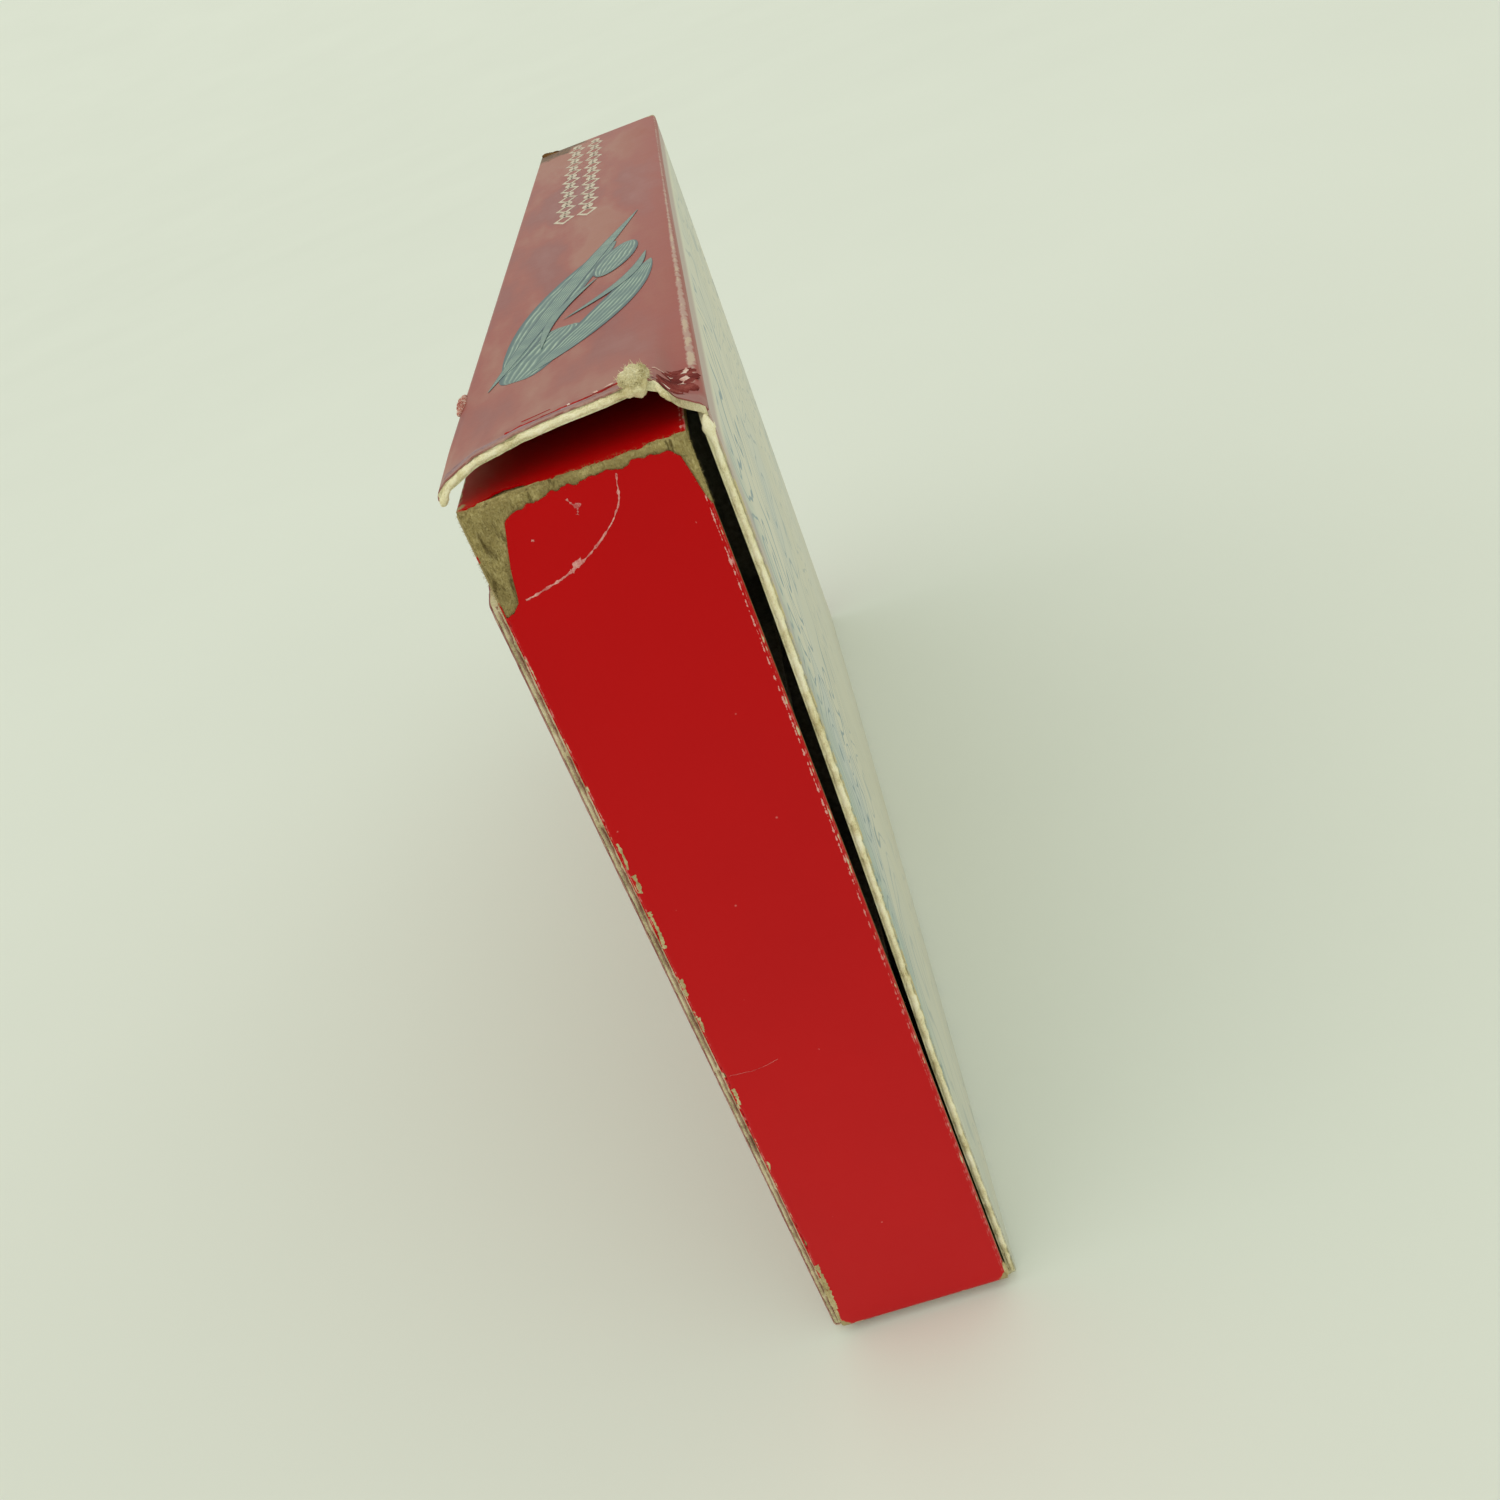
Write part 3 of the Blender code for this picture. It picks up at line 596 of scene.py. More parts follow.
def grow(name, source, tree, values, body, stands_for=()):
    """Runs a node tree over a piece's mesh and keeps what it makes as a plain piece of its own."""
    piece = bpy.data.objects.new(name, source)
    bpy.context.scene.collection.objects.link(piece)
    nodes = piece.modifiers.new("growth", "NODES")
    nodes.node_group = tree
    for socket in tree.interface.items_tree:
        if socket.in_out == "INPUT" and socket.name in values:
            nodes[socket.identifier] = values[socket.name]
    grown = bpy.data.meshes.new_from_object(piece.evaluated_get(bpy.context.evaluated_depsgraph_get()))
    piece.modifiers.remove(nodes)
    piece.data = grown
    grown.name = name
    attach(piece, body)
    if stands_for:
        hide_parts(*stands_for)


def fibre_tree(name, finish):
    """Bent, tapering fibres standing out of a mesh at random places."""
    tree, given = new_tree(name, "Fibres", Pulp="Geometry", Fibres_per_square_metre=1e6, Length=0.8 * MM,
                           Slenderness=0.06, Seed=1)
    points = add(tree, "GeometryNodeDistributePointsOnFaces", Mesh=given["Pulp"],
                 Density=given["Fibres per square metre"], Seed=given["Seed"])
    bent = add(tree, "GeometryNodeCurveQuadraticBezier", Resolution=5, Start=(0, 0, -0.1),
               Middle=(0.12, 0.0, 0.6), End=(0.5, 0.1, 0.85))
    thinning = add(tree, "Math MULTIPLY_ADD", add(tree, "GeometryNodeSplineParameter"), -0.8, 1.0)
    fibre = add(tree, "GeometryNodeCurveToMesh", Curve=bent, Fill_Caps=True,
                Profile_Curve=add(tree, "GeometryNodeCurvePrimitiveCircle", Resolution=3, Radius=1.0),
                Scale=add(tree, "Math MULTIPLY", thinning, given["Slenderness"]))
    upright = add(tree, "FunctionNodeAlignRotationToVector", Vector=points.outputs["Normal"], axis="Z")
    sway = add(tree, "FunctionNodeRandomValue", (-0.9, -0.9, -3.1), (0.9, 0.9, 3.1), Seed=given["Seed"],
               data_type="FLOAT_VECTOR")
    turned = add(tree, "FunctionNodeRotateRotation", Rotation=upright, Rotate_By=sway, rotation_space="LOCAL")
    scale = add(tree, "FunctionNodeRandomValue", 0.35, 1.0, Seed=given["Seed"], data_type="FLOAT")
    placed = add(tree, "GeometryNodeInstanceOnPoints", Points=points, Instance=fibre, Rotation=turned,
                 Scale=add(tree, "Math MULTIPLY", scale, given["Length"]))
    return close_tree(tree, placed, finish)


# Loose fibres and the frayed rolls get the palest of the pulps, a paler copy of the cream pulp as painted light
# for the light they catch, with hardly any relief of their own.
fibre_pulp_painted_light = pulp_finish("loose_cream_fibre_painted_light", "FAF3D8", "EFE5BE", "C9BA88", 0.4, pit_shade=0.6, relief=0.12)
cream_fibres = fibre_tree("cream_fibres", fibre_pulp_painted_light)


def bump_up(values, centre, width):
    """A smooth hill of height 1 round a centre."""
    return np.exp(-((values - centre) / width) ** 2)


# The left cover's cut edge has been handled most: red ink and dirt have turned its pulp a dull pink-brown.
soiled_pulp = pulp_finish("soiled_pink_edge_pulp", "C9B596", "AE957C", "7D5A4A", 0.5, pit_shade=0.7)
roll_x = np.linspace(LEFT_X + 0.15 * MM, RIGHT_X - 3.6 * MM, 260)
from_left = (roll_x - LEFT_X) / MM
roll_y = MOUTH_Y + 0.55 * MM + 2.0 * MM * bump_up(from_left, 37.6, 1.5)
roll_path = bend_wall(at(roll_x, roll_y, TOP_Z)) - (0, 0, 0.55 * WALL)
roll_path[:, 2] -= 1.2 * MM * bump_up(from_left, 0.0, 1.4)
roll_radius = (0.60 + 0.45 * bump_up(from_left, 0.1, 0.9) + 1.0 * bump_up(from_left, 36.0, 1.5)) * MM
spine_fray = lumpy_roll("spine_edge_fray", roll_path, roll_radius, fibre_pulp_painted_light, "sleeve", 41, squash=(0.95, 1.0))

tuft_path = bend_wall(at(np.linspace(34.6, 37.2, 24) * MM + LEFT_X, MOUTH_Y + np.linspace(-0.1, 4.0, 24) * MM,
                         TOP_Z + 0.1 * MM))
tuft_radius = (1.85 - 0.6 * np.linspace(-1, 1, 24) ** 2) * MM
tuft = lumpy_roll("spine_corner_tuft", tuft_path, tuft_radius, fibre_pulp_painted_light, "sleeve", 43)

edge_z = np.linspace(0.6 * MM, TOP_Z - 3.4 * MM, 420)
right_path = at(RIGHT_X + cover_bow(edge_z, edge_z * 0) - 0.5 * WALL, MOUTH_Y + 0.45 * MM, edge_z)
right_radius = (0.64 + 1.25 * bump_up(edge_z / MM, (TOP_Z - 4.6 * MM) / MM, 2.4)
                + 0.12 * hills(right_path, 9 * MM, 44)) * MM
right_fray = lumpy_roll("right_cover_edge_fray", right_path, right_radius, fibre_pulp_painted_light, "sleeve", 45,
                        squash=(0.95, 0.8))

torn_run = np.linspace(0.0, SPLIT, 120)
rise_y = np.concatenate([np.full(300, 0.4 * MM), torn_run]) + MOUTH_Y
rise_z = np.concatenate([np.linspace(0.6 * MM, TOP_Z - 22.4 * MM, 300), torn_top(torn_run) - 0.2 * MM])
left_path = at(LEFT_X + 0.55 * WALL, rise_y, rise_z)
left_path[250:] = (left_path[250:] * 2 + np.roll(left_path, 3, 0)[250:] + np.roll(left_path, -3, 0)[250:]) / 4
left_path = left_path[:-4]
left_radius = np.full(len(left_path), 0.30 * MM)
left_fray = lumpy_roll("left_cover_edge_fray", left_path, left_radius, soiled_pulp, "sleeve", 47,
                       squash=(0.9, 0.8))

for name, host, density, fibre_length, seed in (
        ("spine_edge_fibres", spine_fray, 2.6e7, 0.9, 3), ("spine_tuft_fibres", tuft, 3.0e7, 2.2, 5),
        ("right_edge_fibres", right_fray, 8.0e6, 0.7, 7), ("left_edge_fibres", left_fray, 5.0e6, 0.5, 9)):
    grow(name, host.data, cream_fibres, {"Fibres per square metre": density, "Length": fibre_length * MM,
                                         "Seed": seed}, "sleeve")


# ---------------------------------------------------------------------------------------------------
# Spine ornament: printed over the red in two inks. Grey-green engraved leaves and a disc lie aslant near
# the mouth, and a double row of cream lozenges and rings runs on to the closed end.
# ---------------------------------------------------------------------------------------------------

def engraved_ink(name):
    """Grey-green ink with pale engraved lines along each shape and a dark blue-green outline."""
    finish, tree, shader, place = new_finish(name)
    across = add(tree, "SeparateXYZ", add(tree, "UVMap", uv_map="UVMap")).outputs[1]
    wander = add(tree, "TexNoise", place, Scale=120.0, Detail=2.0)
    step = add(tree, "Math FRACT", add(tree, "Math MULTIPLY_ADD", across, 7.0, wander))
    lines = add(tree, "ValToRGB", step, stops=((0.0, "42625F"), (0.30, "66857A"), (0.55, "A9BCA8"),
                                               (0.72, "5F7F75"), (1.0, "3C5B5B")))
    blotch = add(tree, "TexNoise", place, Scale=170.0, Detail=3.0)
    shade = add(tree, "ValToRGB", blotch, stops=((0.42, "000000"), (0.60, "FFFFFF")))
    rim = add(tree, "Math ABSOLUTE", add(tree, "Math SUBTRACT", across, 0.5))
    colour = lay_over(tree, lines, (add(tree, "Math MULTIPLY", shade, 0.55), "48676A"),
                      (add(tree, "MapRange", rim, 0.40, 0.44), "35535A"))
    feed(shader, Base_Color=colour, Roughness=0.4)
    return finish


def on_spine(flat, lift):
    """Places in millimetres across and along the spine, on its bent face and lifted off it a little."""
    return bend_wall(at(LEFT_X + flat[..., 0] * MM, MOUTH_Y + flat[..., 1] * MM, TOP_Z)) + (0, 0, lift * MM)


def strip_line(places, pitch, fewest):
    """A line through places in millimetres: how far along each step is, and where it is."""
    places = np.array(places, float)
    gaps = np.concatenate([[0], np.cumsum(np.linalg.norm(np.diff(places, axis=0), axis=1))])
    t = np.linspace(0, gaps[-1], max(fewest, int(gaps[-1] / pitch)))
    return t, np.stack([np.interp(t, gaps, places[:, i]) for i in range(2)], -1)


def ragged_strip(t, line, half_width, seed, wander, wander_size, ragged, ragged_size, least, count):
    """A flat strip with ragged sides along a line, count points across."""
    spots = at(t * MM, 0, 0)
    line = line + wander * np.stack([hills(spots, wander_size * MM, seed + k, 3) for k in range(2)], -1)
    along = np.gradient(line, axis=0)
    normal = np.stack([-along[:, 1], along[:, 0]], -1) / np.linalg.norm(along, axis=1)[:, None]
    half = half_width * np.clip(1 + ragged * hills(spots, ragged_size * MM, seed + 2, 4), least, 3.0)
    return line[:, None] + (half[:, None] * np.linspace(-1, 1, count))[..., None] * normal[:, None]


def spine_ribbon(name, places, half_width, finish, seed, lift=0.04, ragged=1.0):
    """A ragged strip lying on the spine, through (across, depth) places in millimetres."""
    t, line = strip_line(places, 0.3, 20)
    points = on_spine(ragged_strip(t, line, half_width, seed, 0.12, 1.2, 1.8 * ragged, 1.4, 0.1, 5), lift)
    points[..., 2] += 0.06 * MM * np.array((0.0, 0.8, 1.0, 0.8, 0.0))
    plate(name, points, points - (0, 0, 0.05 * MM), finish, "sleeve")


# The band behind the mouth has lost its gloss and gone mauve; red cracks and pale curled flakes break it.
rubbed_paper = pulp_finish("rubbed_mauve_paper", "B59A98", "A4878A", "8A5F60", 0.6, pit_shade=0.5)
cracked_ink = pulp_finish("cracked_red_ink", "C0342F", "A82624", "8E1C1C", 0.5, pit_shade=0.5)
paper_flake = pulp_finish("curled_paper_flake", "F3E9DC", "E6C9BA", "C77F74", 0.6, pit_shade=0.5)
spine_ribbon("spine_rubbed_band", [(2.0, 3.2), (10.0, 3.4), (20.0, 3.6), (30.0, 4.2), (35.0, 5.0)], 1.15,
             rubbed_paper, 101, 0.02, 0.5)
spine_ribbon("spine_crack_1", [(13.0, 6.0), (22.0, 6.2), (28.0, 6.6), (33.0, 7.4)], 0.28,
             cracked_ink, 104, 0.03)
spine_ribbon("spine_crack_2", [(16.0, 8.0), (21.0, 8.3)], 0.12, cracked_ink, 107, 0.03)
for number, (start, end, half_width) in enumerate((
        ((30.4, 7.8), (31.8, 8.6), 0.42), ((33.2, 8.0), (34.6, 9.4), 0.45), ((28.6, 7.2), (29.3, 7.4), 0.25),
        ((24.0, 6.3), (24.5, 6.5), 0.2), ((41.6, 9.0), (42.0, 13.0), 0.28), ((40.4, 11.8), (41.3, 12.6), 0.3),
        ((41.9, 14.5), (42.1, 17.0), 0.16), ((39.6, 5.2), (40.6, 5.6), 0.28),
        ((38.4, 12.0), (39.8, 12.9), 0.16)), start=1):
    spine_ribbon(f"spine_flake_{number}", [start, end], half_width, paper_flake, 110 + 3 * number, 0.10)
# Painted shade darkens the crushed paper along its fold; torn through, it shows pink; and dirt browns the far
# corner.
fold_painted_shade = pulp_finish("crushed_fold_painted_shade", "9C5048", "7A2F2B", "4C1513", 0.9, pit_shade=0.7)
torn_fold = pulp_finish("torn_pink_fold", "D9A08E", "B4685A", "7E2F2B", 0.8, pit_shade=0.8)
brown_crush = pulp_finish("soiled_brown_pulp", "85653C", "66431F", "3C260F", 0.7, pit_shade=0.6)
# A dark red ribbon laid along the crushed fold as painted shade.
spine_ribbon("spine_fold_painted_shade", [(38.6, 3.6), (41.0, 7.0), (41.6, 12.0), (41.8, 17.0)], 1.5,
             fold_painted_shade, 170, 0.015, 0.5)
crumple_path = at(LEFT_X + 0.1 * MM, MOUTH_Y + np.linspace(41, 53, 90) * MM, TOP_Z - 0.2 * MM)
crumple_radius = (0.80 - 0.45 * np.linspace(-1, 1, 90) ** 2) * MM
crumple = lumpy_roll("split_end_crumple", crumple_path, crumple_radius, torn_fold, "sleeve", 140)
grow("split_end_fibres", crumple.data, fibre_tree("pink_fibres", paper_flake),
     {"Fibres per square metre": 1.5e7, "Length": 0.7 * MM, "Slenderness": 0.16, "Seed": 21}, "sleeve")
crush_path = at(LEFT_X + np.linspace(0.6, 7.5, 50) * MM, BACK_Y - 1.1 * MM, TOP_Z - 0.5 * MM)
crush_radius = (1.25 - 0.6 * np.linspace(-0.3, 1, 50) ** 2) * MM
lumpy_roll("closed_end_corner_crush", crush_path, crush_radius, brown_crush, "sleeve", 143)

leaf_ink = engraved_ink("grey_green_engraved_ink")


def ink_shape(name, start, end, half_width, bend, blunt, lift):
    """A pointed or blunt shape printed on the spine, between two (across, depth) places in millimetres."""
    t = np.linspace(0, 1, 60)
    along = np.subtract(end, start)
    normal = np.array((-along[1], along[0])) / np.linalg.norm(along)
    middle = start + t[:, None] * along + (np.sin(math.pi * t) * bend)[:, None] * normal
    half = half_width * np.clip(np.sin(math.pi * np.clip(t, 0.004, 0.996)), 0, 1) ** blunt
    points = on_spine(middle[:, None] + (half[:, None] * np.linspace(-1, 1, 9)[None])[..., None] * normal, lift)
    plate(name, points, points - (0, 0, 0.03 * MM), leaf_ink, "sleeve")


for number, (start, end, half_width, bend, blunt) in enumerate((
        ((11.0, 47.0), (20.0, 78.0), 6.0, 1.0, 0.25),
        ((8.0, 56.0), (30.0, 146.0), 5.2, 3.0, 0.65),
        ((14.0, 50.0), (38.5, 112.0), 4.6, -3.0, 0.70),
        ((5.5, 47.0), (36.0, 176.0), 2.3, 1.5, 0.80),
        ((27.0, 112.0), (33.5, 140.0), 4.6, 0.0, 0.45),
        ((19.0, 84.0), (37.5, 122.0), 1.5, -4.5, 0.80),
        ((15.0, 66.0), (26.0, 112.0), 1.2, 3.5, 0.80)), start=1):
    ink_shape(f"spine_leaf_{number}", start, end, half_width, bend, blunt, 0.03 + 0.02 * number)

# Cream ink printed over the red, thin enough for worn spots to show the red through it.
cream_ink, tree, shader, place = new_finish("cream_ink")
worn = add(tree, "TexNoise", place, Scale=500.0, Detail=4.0)
thin_cream = add(tree, "ValToRGB", worn, stops=((0.35, "A98A78"), (0.48, "CBBBA3"), (0.7, "D6CAB4")))
feed(shader, Base_Color=thin_cream, Roughness=0.45)


def ornament_tree():
    """A row of outlined lozenges with a ring between each pair, printed flat."""
    tree, given = new_tree("ornament_row", "Ornament", Row="Geometry", Motifs=12, Lozenge_radius=3.0 * MM,
                           Ring_radius=1.2 * MM, Line_width=0.7 * MM, Ink="Material")
    line = add(tree, "GeometryNodeMeshToCurve", given["Row"])
    joined = add(tree, "GeometryNodeJoinGeometry")
    for corners, radius, shift in ((4, "Lozenge radius", 0.0), (20, "Ring radius", 0.5)):
        rims = add(tree, "GeometryNodeJoinGeometry")
        for size in (given[radius], add(tree, "Math SUBTRACT", given[radius], given["Line width"])):
            feed(rims, add(tree, "GeometryNodeCurvePrimitiveCircle", Resolution=corners, Radius=size))
        flat = add(tree, "GeometryNodeFillCurve", Curve=rims)
        spots = add(tree, "GeometryNodeCurveToPoints", Curve=line, Count=given["Motifs"])
        gap = add(tree, "Math MULTIPLY", given["Lozenge radius"], 5.0 * shift)
        moved = add(tree, "GeometryNodeSetPosition", Geometry=spots, Offset=add(tree, "CombineXYZ", Y=gap))
        feed(joined, add(tree, "GeometryNodeInstanceOnPoints", Points=moved, Instance=flat,
                         Scale=(1.0, 2.0, 1.0)))
    return close_tree(tree, joined, given["Ink"])


ornament = ornament_tree()
for number, across in enumerate((14.6, 21.4), start=1):
    row = bpy.data.meshes.new("row")
    ends = [(LEFT_X + across * MM, MOUTH_Y + y * MM, TOP_Z + 0.03 * MM) for y in (203.0, 334.0)]
    row.from_pydata(ends, [(0, 1)], [])
    grow(f"spine_ornament_row_{number}", row, ornament,
         {"Motifs": 9, "Lozenge radius": 3.2 * MM, "Ring radius": 1.7 * MM, "Line width": 1.3 * MM,
          "Ink": cream_ink},
         "sleeve")


# ---------------------------------------------------------------------------------------------------
# Tray: greyboard walls covered in bright red glossy paper. The paper has torn away along the upper
# front edge and at the upper corner, and the brown-grey board under it is furred and split.
# ---------------------------------------------------------------------------------------------------

def furred_greyboard(name):
    """Soft brown-grey board fur: fine hair, faint clouds, and long streaks where plies have split, sunk into
    the bump and darkened with painted shade.
    """
    finish, tree, shader, place = new_finish(name)
    hair = add(tree, "Mapping", place, Scale=(1.0, 1.0, 0.35))
    fine = add(tree, "TexNoise", hair, Scale=3200.0, Detail=4.0, Roughness=0.6, Distortion=0.8)
    fur = add(tree, "ValToRGB", fine, stops=((0.3, "93834F"), (0.5, "AA9A66"), (0.7, "C4B582")))
    cloudy = add(tree, "MapRange", add(tree, "TexNoise", place, Scale=230.0, Detail=3.0), 0.42, 0.66, 0.0, 0.6)
    long_way = add(tree, "Mapping", place, Scale=(900.0, 500.0, 190.0), Rotation=(0.0, 0.12, 0.0))
    split = add(tree, "TexNoise", long_way, Scale=1.0, Detail=4.0, Roughness=0.65)
    streak = add(tree, "MapRange", split, 0.55, 0.66, 0.0, 0.75)
    deep = add(tree, "Math MULTIPLY_ADD", streak, -1.5, fine)
    # The dark tone of the split streaks is painted shade in the splits, over the board's own fur and clouds.
    feed(shader, Base_Color=lay_over(tree, fur, (cloudy, "87764A"), (streak, "514222")), Roughness=0.95,
         Specular_IOR_Level=0.1, Normal=add(tree, "Bump", Height=deep, Strength=0.5, Distance=0.1 * MM))
    return finish


grey_pulp = furred_greyboard("brown_greyboard_fur")
TRAY_LEFT, TRAY_RIGHT = tray_low.x, tray_high.x
TRAY_BOTTOM, TRAY_TOP = tray_low.z, tray_high.z


def red_paper(name):
    """Bright red coated paper: smooth and glossy, rubbed pink along edges, specked and lightly scratched."""
    finish, tree, shader, place = new_finish(name)
    x, y, z = add(tree, "SeparateXYZ", place).outputs
    red = lay_over(tree, "C00003", (add(tree, "MapRange", z, TRAY_BOTTOM, TRAY_TOP, 1.0, 0.0), "C61D20"))
    cloud = add(tree, "TexNoise", place, Scale=30.0, Detail=4.0)
    edge = box_edge_distance(tree, place, (TRAY_LEFT, FRONT_Y, TRAY_BOTTOM),
                             (TRAY_RIGHT, tray_high.y, TRAY_TOP))
    rubbed = add(tree, "Math MULTIPLY", worn_mask(tree, place, edge, 0.32 * MM, 1.5 * MM, 1.6), 0.7)
    side_line = add(tree, "Math ABSOLUTE", add(tree, "Math SUBTRACT", x, TRAY_RIGHT - 0.7 * MM))
    line = add(tree, "Math MULTIPLY", worn_mask(tree, place, side_line, 0.05 * MM, 1.5 * MM, 1.6),
               add(tree, "MapRange", z, 60 * MM, 130 * MM, 0.15, 0.85))
    bare_corners = [(corner_patch(tree, place, corner, radius * MM, 500.0), "A8966A") for corner, radius in (
        ((TRAY_RIGHT, FRONT_Y, TRAY_BOTTOM), 2.2), ((TRAY_LEFT, FRONT_Y, TRAY_BOTTOM), 2.2),
        ((TRAY_LEFT - 1 * MM, FRONT_Y + 3 * MM, TRAY_TOP - 4 * MM), 5.0),
        ((TRAY_LEFT - 1 * MM, FRONT_Y + 3 * MM, TRAY_TOP - 12 * MM), 5.0))]
    dot = add(tree, "MapRange", add(tree, "TexVoronoi", place, Scale=210.0), 0.055, 0.03, 0.0, 0.6)
    chosen = add(tree, "Math GREATER_THAN", add(tree, "TexNoise", place, Scale=130.0), 0.55)
    colour = lay_over(tree, red, (add(tree, "Math MULTIPLY", cloud, 0.25), "8E0A12"), (rubbed, "D98C86"),
                      (worn_mask(tree, place, edge, 0.18 * MM, 2.4 * MM, 4.2), "C8BC95"), (line, "E0A79E"),
                      *bare_corners, (add(tree, "Math MULTIPLY", dot, chosen), "D77A76"))
    fine = add(tree, "TexNoise", place, Scale=1400.0, Detail=2.0)
    waves = add(tree, "TexNoise", place, Scale=45.0, Detail=3.0)
    relief = add(tree, "Math MULTIPLY_ADD", fine, 0.12, waves)
    feed(shader, Base_Color=colour, Roughness=add(tree, "MapRange", cloud, 0.3, 0.7, 0.30, 0.42),
         Specular_IOR_Level=0.1, Normal=add(tree, "Bump", Height=relief, Strength=0.25, Distance=0.4 * MM))
    return finish


red_cover = red_paper("bright_red_coated_paper")


def rounded(values, low, high, radius):
    """How far the round edges at both ends of a run set each of its places back."""
    t = np.clip(np.maximum(low + radius - values, values - high + radius) / radius, 0, 1)
    return radius * (1 - np.sqrt(1 - t ** 2))


def dense_ends(low, high, count):
    """Evenly spaced places with more of them in the rounded ends."""
    first = low + ROUNDING * (1 - np.cos(np.linspace(0, math.pi / 2, 5)))
    middle = np.linspace(low + ROUNDING, high - ROUNDING, count)[1:-1]
    return np.concatenate([first, middle, (low + high) - first[::-1]])


ROUNDING = 0.9 * MM
front_x = dense_ends(TRAY_LEFT, TRAY_RIGHT, 160)
front_z = dense_ends(TRAY_BOTTOM, TRAY_TOP, 190)
worn_z = TRAY_TOP - 24 * MM
front_z = np.concatenate([front_z[front_z <= worn_z], np.linspace(worn_z, TRAY_TOP - ROUNDING, 120)[1:],
                          TRAY_TOP - ROUNDING * (1 - np.sin(np.linspace(0, math.pi / 2, 5)[1:]))])
grid_x, grid_z = np.meshgrid(front_x, front_z, indexing="ij")
back_x = rounded(front_x, TRAY_LEFT, TRAY_RIGHT, ROUNDING)[:, None]
back_z = rounded(front_z, TRAY_BOTTOM, TRAY_TOP, ROUNDING)[None, :]
fur = hills(at(grid_x, 0, grid_z), 1.4 * MM, 21, 2)
plies = hills(at(grid_x, 0, grid_z) * (1.6, 1.0, 0.35), 2.4 * MM, 22, 2)


def front_paper_top(x):
    """Upper torn edge of the red front paper: a big piece is gone at the left corner, a strip along the top."""
    drop = np.interp((x - TRAY_LEFT) / MM,
                     [0.0, 2.0, 3.3, 3.7, 4.3, 5.5, 6.7, 8.0, 11.0, 17.0, 24.0, 27.0, 29.0, 32.0, 35.0, 36.5,
                      37.3, 38.0, 38.6],
                     [19.5, 18.6, 17.2, 15.6, 12.1, 7.4, 3.8, 3.0, 2.4, 1.7, 1.6, 2.1, 1.4, 1.6, 2.2, 3.3, 7.0,
                      11.0, 13.0])
    tear = 0.5 * hills(at(x, 0, 0), 2.2 * MM, 23, 3) + 0.25 * hills(at(x, 0, 0), 0.8 * MM, 24, 2)
    return TRAY_TOP - (drop + tear) * MM


top_edge = front_paper_top(front_x)
bared = ease(grid_z, top_edge[:, None] - 0.6 * MM, top_edge[:, None] + 0.5 * MM)
board_y = (FRONT_Y + (0.46 - 0.22 * bared) * MM + np.maximum(back_x, back_z)
           + (0.03 * fur + 0.13 * plies) * MM * bared)
crush = ease(grid_z, TRAY_TOP - 5 * MM, TRAY_TOP) * (0.4 + 0.6 * ease(-grid_x, -TRAY_LEFT - 9 * MM, -TRAY_LEFT))
front_board = plate("tray_front_greyboard", at(grid_x, board_y, grid_z - 0.5 * MM * crush * (1 + fur)),
                    at(grid_x, FRONT_Y + WALL, grid_z), grey_pulp, "tray",
                    ["tray_front_board"], 70)

height = (front_z[None, :] - TRAY_BOTTOM) / (TRAY_TOP - TRAY_BOTTOM)
paper_z = TRAY_BOTTOM + height * (top_edge[:, None] - TRAY_BOTTOM)
paper_back = np.maximum(back_x, np.interp(paper_z, front_z, back_z[0]))
nick = hills(at(0, 0, paper_z), 4.0 * MM, 25, 4)
left_wear = 0.7 * MM * np.clip(nick - 0.15, 0, 1) * ease(-grid_x, -TRAY_LEFT - 3 * MM, -TRAY_LEFT)
curl = 0.12 * MM * ease(paper_z, top_edge[:, None] - 1.2 * MM, top_edge[:, None])
front_paper = at(grid_x + left_wear, FRONT_Y + paper_back - 0.6 * curl, paper_z)
plate("tray_front_red_paper", front_paper, front_paper + (0, 0.25 * MM, 0), red_cover, "tray",
      ["tray_front_sheet"])

top_columns = np.linspace(TRAY_LEFT, TRAY_RIGHT, 110)
top_start = 1.1 * MM + 0.7 * MM * hills(at(top_columns, 0, 0), 2.0 * MM, 31, 4)
top_start += 3.4 * MM * np.exp(-((top_columns - TRAY_LEFT - 8 * MM) / (4.0 * MM)) ** 2)
top_start = np.maximum(top_start, 0.3 * MM)
tray_length = tray_high.y - FRONT_Y
run = top_start[None, :] + (tray_length - 0.4 * MM - top_start[None, :]) * rows[:, None]
outer = at(top_columns, FRONT_Y + run, TRAY_TOP)
plate("tray_upper_red_paper", outer, outer - (0, 0, PAPER), red_cover, "tray",
      ["tray_upper_sheet"])

top_rows = np.concatenate([np.linspace(0, 12 * MM, 40), np.linspace(12 * MM, tray_length - 0.4 * MM, 12)[1:]])
spots = at(top_columns, top_rows[:, None], 0)
across, run = spots[..., 0], spots[..., 1]
pit = np.exp(-((across - TRAY_LEFT - 8 * MM) / (3.2 * MM)) ** 2 - ((run - 2.4 * MM) / (1.3 * MM)) ** 2)
drop = (0.4 * MM + 0.12 * MM * hills(spots, 0.9 * MM, 33, 3) + 1.3 * MM * pit
        + rounded(top_rows, 0, 1, ROUNDING)[:, None])
plate("tray_upper_greyboard", at(across, FRONT_Y + 0.5 * MM + run, TRAY_TOP - drop),
      at(across, FRONT_Y + 0.5 * MM + run, TRAY_TOP - WALL - 0.2 * MM), grey_pulp, "tray",
      ["tray_upper_board"], 70)

dress(red_cover, "tray_base_sheet", "tray_rear_sheet", "tray_lower_sheet")
# Board as it left the rolling mill: flat, even and grey, with none of the fur of the torn places.
flat_greyboard = pulp_finish("flat_rolled_greyboard", "AFA27C", "A39672", "8A7C58", 0.9, pit_shade=1.1, clouds=0.15)
dress(flat_greyboard, "tray_base_board", "tray_rear_board", "tray_lower_board")


